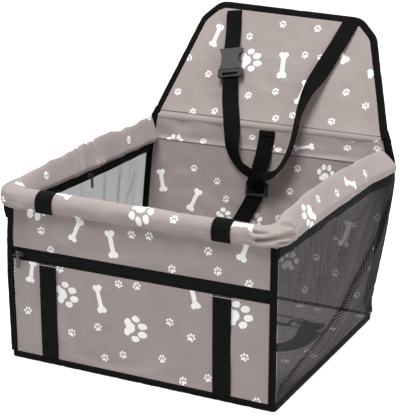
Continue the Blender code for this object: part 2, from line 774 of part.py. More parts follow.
def make_flap(looks):
    """The headrest flap: lining, foam padding and cover, bound round its free edge, on a cloth hinge."""
    pivot = HINGE_POINT
    half = LAMINATE / 2
    right = flap_outline(FLAP_EDGE_WIDTH + GAP, FLAP_SEAM_RUN)
    outline = right + [(-across, rise) for across, rise in reversed(right)]
    layers = (
        ("flap_lining", -half, CLOTH - half, looks["canvas"]),
        ("flap_padding", CLOTH + GAP - half, half - CLOTH - GAP, looks["padding"]),
        ("flap_cover", half - CLOTH, half, looks["canvas"]),
    )
    for name, near, far, look in layers:
        plate(name, outline, on_flap, near, far, look, origin=pivot)
    width = right[0][0]
    strip_outline = [
        (-width, HINGE_START),
        (width, HINGE_START),
        (width, FLAP_SEAM_RUN - GAP),
        (-width, FLAP_SEAM_RUN - GAP),
    ]
    through = HINGE_CLOTH / 2
    plate("flap_hinge_cloth", strip_outline, on_flap, -through, through, looks["canvas"], origin=pivot)
    edge = flap_outline(FLAP_EDGE_WIDTH / 2, FLAP_SEAM_RUN)
    route = edge + [(-across, rise) for across, rise in reversed(edge)]
    points = [on_flap(across, rise, 0) for across, rise in route]
    section = rounded_section(FLAP_EDGE_WIDTH, BACK_BINDING_THICKNESS, BINDING_ROUNDING)
    outs = [-FLAP_OUT] * len(points)
    strip("flap_binding", points, outs, section, looks["binding"], origin=pivot)


def before_flap(x, rise, lift):
    """The middle of something lying in front of the flap's lining."""
    return on_flap(x, rise, -LAMINATE / 2 - lift)


def before_back(x, rise, lift):
    """The middle of something lying in front of the back's lining."""
    return on_back(x, rise, -lift)


def buckle_place(across, along, depth):
    """The buckle's own frame on the flap: across it, down along the strap, and out from the cloth."""
    tilt = Vector((BUCKLE_SWING, -1)).normalized()
    x = BUCKLE_X + tilt.x * along - tilt.y * across
    rise = BUCKLE_RISE + tilt.y * along + tilt.x * across
    return before_flap(x, rise, GAP + depth)


def buckle_block(name, across, along, depth, look):
    """A rectangular body in the buckle's frame."""
    outline = [(across[0], along[0]), (across[1], along[0]), (across[1], along[1]), (across[0], along[1])]
    return plate(name, outline, buckle_place, depth[0], depth[1], look)


def make_headrest_straps(looks):
    """The two headrest straps: sewn at the flap's top, they lie down its front and meet at the adjuster."""
    near = GAP + WEBBING / 2
    middle = GAP + BUCKLE_THICKNESS / 2
    top = FLAP_LENGTH - FLAP_EDGE_WIDTH - STRAP_TOP_DROP
    lean = BUCKLE_SWING
    spare = top - BUCKLE_RISE
    upper = [
        before_flap(BUCKLE_X - lean * spare, top, near),
        before_flap(BUCKLE_X - lean * spare * 0.5, BUCKLE_RISE + spare * 0.5, near * 1.5),
        before_flap(BUCKLE_X - lean * GAP, BUCKLE_RISE + GAP, middle),
    ]
    points = smooth_route(upper, 4)
    webbing("headrest_strap_upper", points, [-FLAP_OUT] * len(points), looks["webbing"])
    plug_end = BUCKLE_LENGTH + PLUG_LENGTH + 2 * GAP
    start = buckle_place(0, plug_end, BUCKLE_THICKNESS / 2)
    meet = ADJUSTER_RISE + ADJUSTER_HEIGHT / 2 + STRAP_END_CLEARANCE
    over = ADJUSTER_LIFT + WEBBING + 2 * GAP
    above = over + WEBBING + 2 * GAP
    fold = FLAP_LIFTS[-1] * near
    left = [start]
    for (x, rise), lift in zip(LEFT_FLAP_SHARES, (FLAP_LIFTS[1], FLAP_LIFTS[3])):
        left.append(before_flap(BASE_WIDTH * x, FLAP_LENGTH * rise, lift * near))
    for (x, rise), lift in zip(LEFT_BACK_SHARES, (fold, above, above)):
        left.append(before_back(BASE_WIDTH * x, FLAP_SEAM_RISE * rise, lift))
    right = [before_flap(BASE_WIDTH * RIGHT_TOP_SHARE, top, near)]
    for (x, rise), lift in zip(RIGHT_FLAP_SHARES, FLAP_LIFTS):
        right.append(before_flap(BASE_WIDTH * x, FLAP_LENGTH * rise, lift * near))
    for (x, rise), lift in zip(RIGHT_BACK_SHARES, (fold, over, over)):
        right.append(before_back(BASE_WIDTH * x, FLAP_SEAM_RISE * rise, lift))
    for route, sign, lift in ((left, -1, above), (right, 1, over)):
        for rise in (meet + STRAP_END_RUN, meet):
            route.append(before_back(ADJUSTER_X + sign * STRAP_MEET, rise, lift))
    for name, route in (("headrest_strap_lower", left), ("headrest_strap_right", right)):
        points = smooth_route(route, 3)
        outs = []
        for point in points:
            share = min(max((HINGE_POINT.z - point.z) / STRAP_BEND_RUN, 0), 1)
            outs.append((-FLAP_OUT).lerp(-BACK_OUT, share).normalized())
        webbing(name, points, outs, looks["webbing"])


def make_buckle(looks):
    """The side-release buckle: a waisted housing, and a plug with a guide and two springy prongs."""
    outline = []
    steps = 8
    for step in range(steps + 1):
        share = step / steps
        half = BUCKLE_WIDTH / 2 - (BUCKLE_WIDTH - BUCKLE_WAIST) / 2 * math.sin(math.pi * share) ** 1.3
        outline.append((half, BUCKLE_LENGTH * share))
    outline += [(-across, along) for across, along in reversed(outline)]
    body = plate("housing", outline, buckle_place, 0, BUCKLE_THICKNESS, looks["buckle"])
    half = BUCKLE_CAVITY_WIDTH / 2
    hollow = buckle_block(
        "hollow",
        (-half, half),
        (BUCKLE_END, BUCKLE_LENGTH + OVERRUN),
        (BUCKLE_WALL, BUCKLE_THICKNESS - BUCKLE_WALL),
        looks["buckle"],
    )
    pierced("buckle_housing", body, [hollow], looks["buckle"])
    start = BUCKLE_LENGTH + GAP
    end = start + PLUG_LENGTH
    depths = (BUCKLE_WALL / 2, BUCKLE_THICKNESS - BUCKLE_WALL / 2)
    frame = buckle_block("frame", (-PLUG_WIDTH / 2, PLUG_WIDTH / 2), (start, end), depths, looks["joint"])
    middle = BUCKLE_THICKNESS / 2
    guide = buckle_block(
        "guide",
        (-GUIDE_WIDTH / 2, GUIDE_WIDTH / 2),
        (BUCKLE_LENGTH - PRONG_LENGTH, start + BUCKLE_WALL),
        (middle - BUCKLE_WALL / 2, middle + BUCKLE_WALL / 2),
        looks["joint"],
    )
    whole = joined("plug", frame, [guide], looks["joint"])
    slot = STRAP_WIDTH / 2 + GAP
    window = buckle_block(
        "window",
        (-slot, slot),
        (start + PLUG_LENGTH * PLUG_SLOT_SHARES[0], start + PLUG_LENGTH * PLUG_SLOT_SHARES[1]),
        (-OVERRUN, BUCKLE_THICKNESS + OVERRUN),
        looks["joint"],
    )
    pierced("buckle_plug", whole, [window], looks["joint"], buckle_place(0, start, middle))
    root = start - GAP
    tip = root - PRONG_LENGTH
    inner, outer = PRONG_OFFSET - PRONG_WIDTH / 2, PRONG_OFFSET + PRONG_WIDTH / 2
    barb = BUCKLE_CAVITY_WIDTH / 2 - 2 * GAP
    shape = [
        (inner, root),
        (outer, root),
        (outer, tip + PRONG_LENGTH * 0.45),
        (barb, tip + PRONG_LENGTH * 0.42),
        (barb, tip + PRONG_LENGTH * 0.22),
        (outer - PRONG_WIDTH * 0.4, tip),
        (inner, tip),
    ]
    low, high = BUCKLE_WALL + PRONG_PLAY, BUCKLE_THICKNESS - BUCKLE_WALL - PRONG_PLAY
    for side, sign in (("left", -1), ("right", 1)):
        pivot = buckle_place(sign * PRONG_OFFSET, root, middle)
        turned = [(sign * across, along) for across, along in shape]
        plate("buckle_prong_" + side, turned, buckle_place, low, high, looks["joint"], origin=pivot)


def adjuster_place(across, up, lift):
    """The adjuster's own frame: across the strap, up it, and out from the back's lining."""
    return before_back(ADJUSTER_X + across, ADJUSTER_RISE + up, lift)


def adjuster_block(name, across, up, lift, look):
    outline = [(across[0], up[0]), (across[1], up[0]), (across[1], up[1]), (across[0], up[1])]
    return plate(name, outline, adjuster_place, lift[0], lift[1], look)


def make_harness(looks):
    """The tether: sewn to the band, down through the adjuster, and on to the floor with its snap hook."""
    near = GAP + WEBBING / 2
    low = ADJUSTER_RISE - ADJUSTER_HEIGHT / 2 - TETHER_RUN
    high = ADJUSTER_RISE + ADJUSTER_HEIGHT / 2 + TETHER_RUN
    route = [
        before_back(0.0050, BAND_TOP - BAND_FLANGE, near),
        before_back(0.0045, (BAND_TOP + BAND_BOTTOM) / 2, near),
        before_back(0.0030, BAND_BOTTOM - BAND_FLANGE, ADJUSTER_LIFT),
    ]
    points = smooth_route(route, 3)
    points += [before_back(ADJUSTER_X, rise, ADJUSTER_LIFT) for rise in (high, low)]
    webbing("tether_upper", points, [-BACK_OUT] * len(points), looks["webbing"])

    thick = ADJUSTER_PLATE
    behind = (ADJUSTER_LIFT - WEBBING / 2 - GAP - thick, ADJUSTER_LIFT - WEBBING / 2 - GAP)
    before = (ADJUSTER_LIFT + WEBBING / 2 + GAP, ADJUSTER_LIFT + WEBBING / 2 + GAP + thick)
    half, rise = ADJUSTER_WIDTH / 2, ADJUSTER_HEIGHT / 2
    depth = (behind[0], before[1])
    rails = []
    for sign in (-1, 1):
        across = sorted((sign * half, sign * (half - ADJUSTER_RAIL)))
        rails.append(adjuster_block("rail", across, (-rise, rise), depth, looks["joint"]))
    reach = half - ADJUSTER_RAIL / 2
    middle_bar = (-ADJUSTER_BAR / 2, ADJUSTER_BAR / 2)
    back_depth = (behind[0] + ADJUSTER_INSET, behind[1])
    bars = [adjuster_block("bar", (-reach, reach), middle_bar, back_depth, looks["joint"])]
    for low_up in (ADJUSTER_INSET - rise, rise - ADJUSTER_BAR - ADJUSTER_INSET):
        ups = (low_up, low_up + ADJUSTER_BAR)
        front_depth = (before[0], before[1] - ADJUSTER_INSET)
        bars.append(adjuster_block("bar", (-reach, reach), ups, front_depth, looks["joint"]))
    pivot = adjuster_place(0, 0, ADJUSTER_LIFT)
    joined("strap_adjuster", rails[0], [rails[1], *bars], looks["joint"], pivot)

    lying = FLOOR_TOP + near + GAP
    near_bar = EYE_Y - EYE_LENGTH / 2
    wrap = EYE_WIRE + GAP + WEBBING / 2
    route = [
        before_back(ADJUSTER_X, low - TETHER_RUN / 2, ADJUSTER_LIFT),
        before_back(ADJUSTER_X, low - TETHER_RUN, ADJUSTER_LIFT),
        before_back(-0.012, low * TETHER_RISE_SHARES[0], TETHER_SWAY),
        before_back(-0.024, low * TETHER_RISE_SHARES[1], TETHER_SWAY),
        Vector((-0.032, 0.146, FLOOR_TOP + TETHER_SWAY)),
        Vector((-0.030, 0.118, lying)),
        Vector((0.008, 0.066, lying)),
        Vector((0.056, 0.014, lying)),
        Vector((0.102, -0.008, lying)),
        Vector((0.135, 0.008, lying)),
        Vector((EYE_X, 0.036, lying + wrap)),
        Vector((EYE_X, near_bar - 4 * wrap, HOOK_AXIS_HEIGHT)),
    ]
    points = [before_back(ADJUSTER_X, low - GAP, ADJUSTER_LIFT), *smooth_route(route, 4)]
    outs = []
    for point in points:
        point.z = max(point.z, lying)
        hanging = (point.z - lying - wrap) / TETHER_TURN if point.y > near_bar else 0
        share = min(max(hanging, 0), 1)
        outs.append(Vector((0, -share, 1 - share * 0.98)).normalized())
    for step in range(7):
        angle = math.radians(90 - 35 * step)
        out = Vector((0, math.cos(angle), math.sin(angle)))
        points.append(Vector((EYE_X, near_bar, HOOK_AXIS_HEIGHT)) + out * wrap)
        outs.append(out)
    webbing("tether_tail", points, outs, looks["webbing"])


def hook_place(along, up):
    """A point of the hook's plane: along from the barrel's face towards its nose, up from its axis."""
    return Vector((HOOK_X - along, EYE_Y, HOOK_AXIS_HEIGHT + up))


def make_hook(looks):
    """The snap hook that clips to the dog's harness: an eye with a swivel barrel, the hook and its gate."""
    half = STRAP_WIDTH / 2 + EYE_WIRE + GAP
    left, right = EYE_X - half, EYE_X + half
    near, far = EYE_Y - EYE_LENGTH / 2, EYE_Y + EYE_LENGTH / 2
    corner = EYE_WIRE
    path = []
    for x, y, turn in ((right, near, 270), (right, far, 0), (left, far, 90), (left, near, 180)):
        centre_x = x - math.copysign(corner, x - EYE_X)
        centre_y = y - math.copysign(corner, y - EYE_Y)
        for step in range(3):
            angle = math.radians(turn + 45 * step)
            spot = Vector((math.cos(angle), math.sin(angle), 0)) * corner
            path.append(Vector((centre_x, centre_y, HOOK_AXIS_HEIGHT)) + spot)
    ring = loft("ring", wire_rings(path, EYE_WIRE, closed=True), looks["steel"], closed=True)
    start = Vector((left + EYE_WIRE / 2, EYE_Y, HOOK_AXIS_HEIGHT))
    end = Vector((HOOK_X + GAP, EYE_Y, HOOK_AXIS_HEIGHT))
    barrel = loft("barrel", wire_rings([start, end], BARREL_RADIUS, ROUND_SIDES), looks["steel"])
    joined("tether_eye", ring, [barrel], looks["steel"])

    spine = -HOOK_RADIUS
    bend = HOOK_SHANK + HOOK_RADIUS / 2
    nose = bend + HOOK_LENGTH
    path = [
        hook_place(0, 0),
        hook_place(HOOK_SHANK * 0.55, 0),
        hook_place(HOOK_SHANK, spine * 0.32),
        hook_place(bend - HOOK_WIRE / 2, spine * 0.82),
        hook_place(bend + HOOK_WIRE, spine),
    ]
    for step in range(9):
        angle = math.radians(-90 + 152 * step / 8)
        path.append(hook_place(nose + HOOK_RADIUS * math.cos(angle), HOOK_RADIUS * math.sin(angle)))
    loft("snap_hook", wire_rings(path, HOOK_WIRE), looks["steel"], origin=hook_place(0, 0))

    radius = GATE_THICKNESS / 2
    pivot = hook_place(HOOK_SHANK * GATE_PIVOT_SHARE, HOOK_WIRE + radius + 2 * GAP)
    reach = HOOK_RADIUS - HOOK_WIRE - radius - 2 * GAP
    tip = hook_place(nose + reach * 0.5, reach * 0.82)
    rings = wire_rings([pivot, (pivot + tip) / 2, tip], radius)
    loft("hook_gate", rings, looks["steel"], origin=pivot)


def zip_line(name, profile, place, start, end, look):
    """A zip tape: its section of (out, up) pairs drawn out from start to end."""
    rings = [[place(along, out, up) for out, up in profile] for along in (start, end)]
    return loft(name, rings, look)


def tape_profile():
    """Half tape, teeth, half tape, as one section about the zip's line."""
    teeth, edge = TEETH_WIDTH / 2, ZIP_HALF
    front = TEETH_THICKNESS / 2
    face, back = TAPE_THICKNESS / 2, -TAPE_THICKNESS / 2
    return [
        (face, -edge),
        (face, -teeth),
        (front, -teeth),
        (front, teeth),
        (face, teeth),
        (face, edge),
        (back, edge),
        (back, -edge),
    ]


def make_slider(name, puller, place, where, looks):
    """A zip slider with its bridge, and the puller whose ring hangs on it."""
    face = TEETH_THICKNESS / 2 + GAP
    half, rise = SLIDER_LENGTH / 2, SLIDER_HEIGHT / 2
    outline = [(-half, -rise), (half, -rise * 0.7), (half, rise * 0.7), (-half, rise)]

    def turned(along, up, out):
        return place(where + along, out, up)

    body = plate("body", outline, turned, face, face + SLIDER_THICKNESS, looks["steel"])
    stand = face + SLIDER_THICKNESS + BRIDGE_STAND
    reach = BRIDGE_LENGTH / 2
    foot = face + SLIDER_THICKNESS / 2
    corners = [(-reach, foot), (-reach, stand - BRIDGE_RADIUS), (-reach + BRIDGE_RADIUS, stand)]
    corners += [(-along, out) for along, out in reversed(corners)]
    path = [place(where + along, out, 0) for along, out in corners]
    bridge = loft("bridge", wire_rings(path, BRIDGE_RADIUS), looks["steel"])
    centre = place(where, stand, 0)
    joined(name, body, [bridge], looks["steel"], origin=place(where, 0, 0))
    ring_path = []
    for i in range(12):
        angle = 2 * math.pi * i / 12
        ring_path.append(place(where, stand + RING_RADIUS * math.cos(angle), RING_RADIUS * math.sin(angle)))
    ring = loft("ring", wire_rings(ring_path, RING_WIRE, 6, closed=True), looks["steel"], closed=True)
    through = PULLER_THICKNESS / 2
    top, bottom = -RING_RADIUS, -RING_RADIUS - PULLER_LENGTH
    wide = PULLER_WIDTH / 2
    outline = [(-wide * 0.4, top), (-wide, top - wide), (-wide, bottom + wide), (-wide * 0.4, bottom)]
    outline += [(-along, up) for along, up in reversed(outline)]
    tab = plate("tab", outline, turned, stand - through, stand + through, looks["steel"])
    joined(puller, ring, [tab], looks["steel"], origin=centre)


def make_zips(looks):
    """The pocket's zip across the front, and the zip inside the left rim through which the tube goes in."""
    edge = HALF_WIDTH - CORNER_BINDING_WIDTH - GAP

    def pocket_place(along, out, up):
        return Vector((along, FRONT_Y + TAPE_THICKNESS / 2 - out, ZIP_HEIGHT + up))

    zip_line("pocket_zip_tape", tape_profile(), pocket_place, -edge, edge, looks["binding"])
    where = SLIDER_LENGTH - edge
    make_slider("pocket_zip_slider", "pocket_zip_puller", pocket_place, where, looks)

    height = WALL_TOP - RIM_TAPE_HEIGHT / 2
    inside = MESH_BINDING_THICKNESS + GAP + TAPE_THICKNESS / 2 - HALF_WIDTH

    def rim_place(along, out, up):
        return Vector((inside + out, along, height + up))

    half, teeth = RIM_TAPE_HEIGHT / 2, TEETH_WIDTH / 2
    profile = [(out, math.copysign(half, up) if abs(up) > teeth else up) for out, up in tape_profile()]
    front = FRONT_Y + CORNER_BINDING_THICKNESS + POCKET_GAP + 2 * PANEL
    rear = back_edge_y(WALL_TOP - RIM_TAPE_HEIGHT)
    zip_line("rim_zip_tape", profile, rim_place, front, rear, looks["binding"])
    make_slider("rim_zip_slider", "rim_zip_puller", rim_place, RIM_SLIDER_Y, looks)


def main():
    clear_scene()
    looks = {
        "canvas": material("canvas", (0.47, 0.42, 0.40), 0.85),
        "binding": material("binding", (0.012, 0.012, 0.013), 0.75),
        "webbing": material("webbing", (0.010, 0.010, 0.011), 0.60),
        "mesh": material("mesh", (0.015, 0.015, 0.016), 0.70, alpha=0.5),
        "board": material("board", (0.62, 0.62, 0.60), 0.55),
        "padding": material("padding", (0.75, 0.75, 0.73), 0.90),
        "pipe": material("pipe", (0.70, 0.70, 0.68), 0.35),
        "joint": material("joint", (0.020, 0.020, 0.022), 0.45),
        "buckle": material("buckle", (0.070, 0.072, 0.075), 0.42),
        "steel": material("steel", (0.20, 0.20, 0.21), 0.35, metallic=1.0),
    }
    make_base(looks)
    make_front(looks)
    make_sides(looks)
    make_back(looks)
    make_rim(looks)
    make_rim_loops(looks)
    make_band(looks)
    make_flap(looks)
    make_headrest_straps(looks)
    make_buckle(looks)
    make_harness(looks)
    make_hook(looks)
    make_zips(looks)


main()
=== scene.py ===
"""Dog car seat, dressed for its look: printed cloth, black net, edge tape, webbing, zips and buckles.

Metres, +X to the viewer's right, +Y to the back, +Z up, in the frame of the part's solids.
"""

import math

import bmesh
import bpy
import numpy as np
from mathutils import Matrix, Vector


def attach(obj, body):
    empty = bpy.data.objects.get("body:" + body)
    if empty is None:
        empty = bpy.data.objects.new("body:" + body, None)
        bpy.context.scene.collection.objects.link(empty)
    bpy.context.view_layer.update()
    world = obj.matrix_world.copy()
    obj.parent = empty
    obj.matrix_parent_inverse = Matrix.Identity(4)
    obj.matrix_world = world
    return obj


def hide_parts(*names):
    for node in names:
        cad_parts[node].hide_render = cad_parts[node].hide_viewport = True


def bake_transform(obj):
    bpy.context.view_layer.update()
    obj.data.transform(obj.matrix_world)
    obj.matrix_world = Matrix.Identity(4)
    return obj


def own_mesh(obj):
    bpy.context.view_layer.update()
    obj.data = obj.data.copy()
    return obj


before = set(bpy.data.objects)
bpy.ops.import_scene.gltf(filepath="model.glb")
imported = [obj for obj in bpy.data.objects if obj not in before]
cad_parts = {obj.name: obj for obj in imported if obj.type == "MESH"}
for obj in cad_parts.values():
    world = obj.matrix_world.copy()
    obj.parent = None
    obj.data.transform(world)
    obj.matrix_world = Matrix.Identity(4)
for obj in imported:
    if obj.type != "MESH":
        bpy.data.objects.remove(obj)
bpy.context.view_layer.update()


# The photographer's side of things: the camera to the right of the front and a little above it, a wide
# soft lamp almost overhead with a weaker one at the right, and a white room with a white floor.
def new_material(name):
    made = bpy.data.materials.new(name)
    made.use_nodes = True
    made.node_tree.nodes.clear()
    return made


def node(tree, kind, **settings):
    """A node with its settings. A socket's value is given by the socket's name with _ for a blank."""
    made = tree.nodes.new(kind)
    for key, value in settings.items():
        if hasattr(made, key):
            setattr(made, key, value)
        else:
            made.inputs[key.replace("_", " ")].default_value = value
    return made


def link(tree, start, end):
    tree.links.new(start, end)


def maths(tree, operation, first, second=None, third=None, clamp=False):
    """A sum on sockets or numbers."""
    made = tree.nodes.new("ShaderNodeMath")
    made.operation = operation
    made.use_clamp = clamp
    for socket, value in zip(made.inputs, (first, second, third)):
        if isinstance(value, bpy.types.NodeSocket):
            tree.links.new(value, socket)
        elif value is not None:
            socket.default_value = value
    return made.outputs[0]


camera_turn, camera_rise = math.radians(27.0), math.radians(16.8)
camera_target = Vector((0, -0.010, 0.200))
camera_distance, sensor_width = 1.8, 36
photo_side, focal_pixels = 416, 1289
middle_right, middle_down = 5, 2
towards_camera = Vector(
    (
        math.sin(camera_turn) * math.cos(camera_rise),
        -math.cos(camera_turn) * math.cos(camera_rise),
        math.sin(camera_rise),
    )
)
camera = bpy.data.objects.new("camera", bpy.data.cameras.new("camera"))
camera.location = camera_target + towards_camera * camera_distance
camera.rotation_euler = (-towards_camera).to_track_quat("-Z", "Y").to_euler()
camera.data.sensor_width = sensor_width
camera.data.lens = focal_pixels * sensor_width / photo_side
camera.data.shift_x = middle_right / photo_side
camera.data.shift_y = -middle_down / photo_side
bpy.context.scene.collection.objects.link(camera)
bpy.context.scene.camera = camera
bpy.context.scene.view_settings.view_transform = "Standard"


def seen_directly(tree):
    """1 for what the camera sees, also in a mirror or through glass, and 0 for light on the object."""
    path = node(tree, "ShaderNodeLightPath")
    first = maths(tree, "MAXIMUM", path.outputs["Is Camera Ray"], path.outputs["Is Glossy Ray"])
    return maths(tree, "MAXIMUM", first, path.outputs["Is Transmission Ray"])


def colour_between(tree, share, *colours):
    """A colour that goes from the first of two to the second as the share goes from 0 to 1."""
    made = node(tree, "ShaderNodeMix", data_type="RGBA")
    link(tree, share, made.inputs[0])
    for socket, colour in zip(made.inputs[6:8], colours):
        if isinstance(colour, bpy.types.NodeSocket):
            link(tree, colour, socket)
        else:
            socket.default_value = (*colour, 1)
    return made.outputs[2]


room = bpy.data.worlds.new("room")
room.use_nodes = True
room_tree = room.node_tree
room_tree.nodes.clear()
room_shade = colour_between(room_tree, seen_directly(room_tree), (0.20, 0.20, 0.205), (1, 1, 1))
room_light = node(room_tree, "ShaderNodeBackground")
room_out = node(room_tree, "ShaderNodeOutputWorld")
link(room_tree, room_shade, room_light.inputs["Color"])
link(room_tree, room_light.outputs[0], room_out.inputs["Surface"])
bpy.context.scene.world = room

for lamp_name, lamp_place, lamp_size, lamp_watts in (
    ("lamp_over", (-0.15, -0.70, 2.45), 1.1, 72),
    ("lamp_right", (1.75, -0.15, 1.45), 1.0, 24),
):
    lamp = bpy.data.objects.new(lamp_name, bpy.data.lights.new(lamp_name, "AREA"))
    lamp.location = lamp_place
    lamp.rotation_euler = (camera_target - lamp.location).to_track_quat("-Z", "Y").to_euler()
    lamp.data.size = lamp_size
    lamp.data.energy = lamp_watts
    bpy.context.scene.collection.objects.link(lamp)

floor_half, floor_drop = 6, 0.0004
floor_corners = [(floor_half * x, floor_half * y, 0) for x, y in ((-1, -1), (1, -1), (1, 1), (-1, 1))]
floor_mesh = bpy.data.meshes.new("studio_floor")
floor_mesh.from_pydata(floor_corners, [], [(0, 1, 2, 3)])
studio_floor = bpy.data.objects.new("studio_floor", floor_mesh)
studio_floor.location.z = -floor_drop
bpy.context.scene.collection.objects.link(studio_floor)
floor_look = new_material("floor_paper")
floor_tree = floor_look.node_tree
floor_shader = node(floor_tree, "ShaderNodeBsdfPrincipled", Base_Color=(0.80, 0.80, 0.80, 1), Roughness=0.9)
floor_place = node(floor_tree, "ShaderNodeTexCoord").outputs["Object"]
floor_reach = node(floor_tree, "ShaderNodeVectorMath", operation="LENGTH")
link(floor_tree, floor_place, floor_reach.inputs[0])
glow_near, glow_growth, glow_most = 0.50, 0.5, 0.86
whiter = maths(floor_tree, "MULTIPLY_ADD", floor_reach.outputs["Value"], glow_growth, glow_near)
whiter = maths(floor_tree, "MINIMUM", whiter, glow_most)
floor_glow = maths(floor_tree, "MULTIPLY", seen_directly(floor_tree), whiter)
floor_shader.inputs["Emission Color"].default_value = (1, 1, 1, 1)
link(floor_tree, floor_glow, floor_shader.inputs["Emission Strength"])
floor_out = node(floor_tree, "ShaderNodeOutputMaterial")
link(floor_tree, floor_shader.outputs[0], floor_out.inputs["Surface"])
floor_mesh.materials.append(floor_look)


# The tether: black nylon webbing, 26 mm wide and 1.4 mm thick, woven with ribs along it. Its long end
# hangs from the adjuster, lies in a loose curve on the seat's floor and is sewn round the eye of the hook.
strap_width, strap_thick = 0.026, 0.0014
clearance = 0.0003
floor_height = 0.006
lean, flap_lean = math.radians(12), math.radians(26.3)
back_foot = np.array((0, 0.174, 0.0103))
back_up = np.array((0, math.sin(lean), math.cos(lean)))
back_out = np.array((0, math.cos(lean), -math.sin(lean)))
flap_up = np.array((0, math.sin(flap_lean), math.cos(flap_lean)))
flap_out = np.array((0, math.cos(flap_lean), -math.sin(flap_lean)))
hinge = np.array((0, 0.231179, 0.264876))
wall_foot, wall_top = 0.0103, 0.2177
pad_half_thick = 0.003


def on_back(x, rise, out):
    """A point of the leaning back wall: rise up it from its foot, out behind its inner face."""
    x, rise, out = np.broadcast_arrays(x, rise, out)
    across = np.stack([x, 0 * x, 0 * x], -1)
    return back_foot + across + rise[..., None] * back_up + out[..., None] * back_out


def on_flap(x, rise, out):
    """A point of the headrest: rise above its hinge, out behind its middle."""
    x, rise, out = np.broadcast_arrays(x, rise, out)
    across = np.stack([x, 0 * x, 0 * x], -1)
    return hinge + across + rise[..., None] * flap_up + out[..., None] * flap_out


def before_back(x, rise, lift):
    return on_back(x, rise, -lift)


def before_flap(x, rise, lift):
    return on_flap(x, rise, -pad_half_thick - lift)


def curve_through(route, steps):
    """A smooth line of points through the route's own points."""
    route = [np.array(point, float) for point in route]
    padded = [2 * route[0] - route[1], *route, 2 * route[-1] - route[-2]]
    points = []
    for i in range(1, len(padded) - 2):
        before, start, end, after = padded[i - 1 : i + 3]
        for t in np.arange(steps) / steps:
            cubic = (3 * (start - end) + after - before) * t**3
            square = (2 * before - 5 * start + 4 * end - after) * t**2
            points.append((2 * start + (end - before) * t + square + cubic) / 2)
    return np.array([*points, route[-1]])


def run_along(points):
    """The distance along a line to each of its points."""
    return np.concatenate([[0], np.cumsum(np.linalg.norm(np.diff(points, axis=0), axis=1))])


def evenly(points, values, spacing):
    """The line and the values that go with it, at even spacing along it."""
    run = run_along(points)
    marks = np.linspace(0, run[-1], max(2, round(run[-1] / spacing)) + 1)
    both = np.hstack([points, values])
    spaced = np.stack([np.interp(marks, run, column) for column in both.T], -1)
    return spaced[:, :3], spaced[:, 3:]


def unit(vectors):
    return vectors / np.linalg.norm(vectors, axis=-1, keepdims=True)


def surface_mesh(name, points, flat, wrapped=False):
    """A mesh over a grid of points, with the cloth's flat measures as its UV map.

    A wrapped grid closes on itself.
    """
    rows, columns = points.shape[:2]
    reach = columns if wrapped else columns - 1
    i, j = np.meshgrid(np.arange(rows - 1), np.arange(reach), indexing="ij")
    i, j = i.ravel(), j.ravel()
    k = (j + 1) % columns
    faces = np.stack([i * columns + j, i * columns + k, (i + 1) * columns + k, (i + 1) * columns + j], -1)
    mesh = bpy.data.meshes.new(name)
    mesh.from_pydata(points.reshape(-1, 3).tolist(), [], faces.tolist())
    corners = np.stack([flat[i, j], flat[i, j + 1], flat[i + 1, j + 1], flat[i + 1, j]], 1)
    mesh.uv_layers.new(name="flat").data.foreach_set("uv", corners.astype(np.float32).ravel())
    mesh.shade_smooth()
    return mesh


def placed(name, mesh, *looks):
    made = bpy.data.objects.new(name, mesh)
    bpy.context.scene.collection.objects.link(made)
    for look in looks:
        mesh.materials.append(look)
    return made


def made_plain(piece):
    """The piece with its modifiers carried out, so that none is left."""
    bpy.context.view_layer.update()
    shaped = bpy.data.meshes.new_from_object(piece.evaluated_get(bpy.context.evaluated_depsgraph_get()))
    shaped.name = piece.name
    piece.modifiers.clear()
    piece.data = shaped
    return piece


def close_ends(mesh):
    """Fills the open ends of a swept section."""
    work = bmesh.new()
    work.from_mesh(mesh)
    bmesh.ops.holes_fill(work, edges=[edge for edge in work.edges if edge.is_boundary])
    work.to_mesh(mesh)
    work.free()


def swept(name, points, outs, section, look, spacing=0.003, closed=False):
    """A section of (across, through) pairs swept along points, its face turned to outs."""
    points, outs = np.array(points, float), np.array(outs, float)
    if closed:
        points, outs = np.vstack([points, points[:1]]), np.vstack([outs, outs[:1]])
    points, outs = evenly(points, outs, spacing)
    ahead = np.gradient(points, axis=0)
    if closed:
        ahead[0] = ahead[-1] = points[1] - points[-2]
    ahead = unit(ahead)
    across = unit(np.cross(ahead, outs))
    through = np.cross(across, ahead)
    section = np.array(section, float)
    rings = points[:, None] + across[:, None] * section[None, :, :1] + through[:, None] * section[None, :, 1:]
    round_section = np.vstack([section, section[:1]])
    girth = run_along(round_section)
    run = run_along(points)
    flat = np.stack(np.broadcast_arrays(girth[None, :], run[:, None]), -1)
    mesh = surface_mesh(name, rings, flat, wrapped=True)
    if closed:
        work = bmesh.new()
        work.from_mesh(mesh)
        bmesh.ops.remove_doubles(work, verts=work.verts, dist=1e-6)
        work.to_mesh(mesh)
        work.free()
    else:
        close_ends(mesh)
    turn_outwards(mesh)
    return placed(name, mesh, look)


def turn_outwards(mesh):
    work = bmesh.new()
    work.from_mesh(mesh)
    bmesh.ops.recalc_face_normals(work, faces=work.faces)
    work.to_mesh(mesh)
    work.free()
    mesh.shade_smooth()


def strap_section(width, thick, ribs=12):
    """The webbing's section: flat faces and round selvedges."""
    half, deep = width / 2, thick / 2
    selvedge = np.radians((30, 60, 90, 120, 150))
    face = [(x, deep) for x in np.linspace(half - deep, deep - half, ribs)]
    face += [(deep - half - deep * math.sin(angle), deep * math.cos(angle)) for angle in selvedge]
    return face + [(-x, -y) for x, y in face]


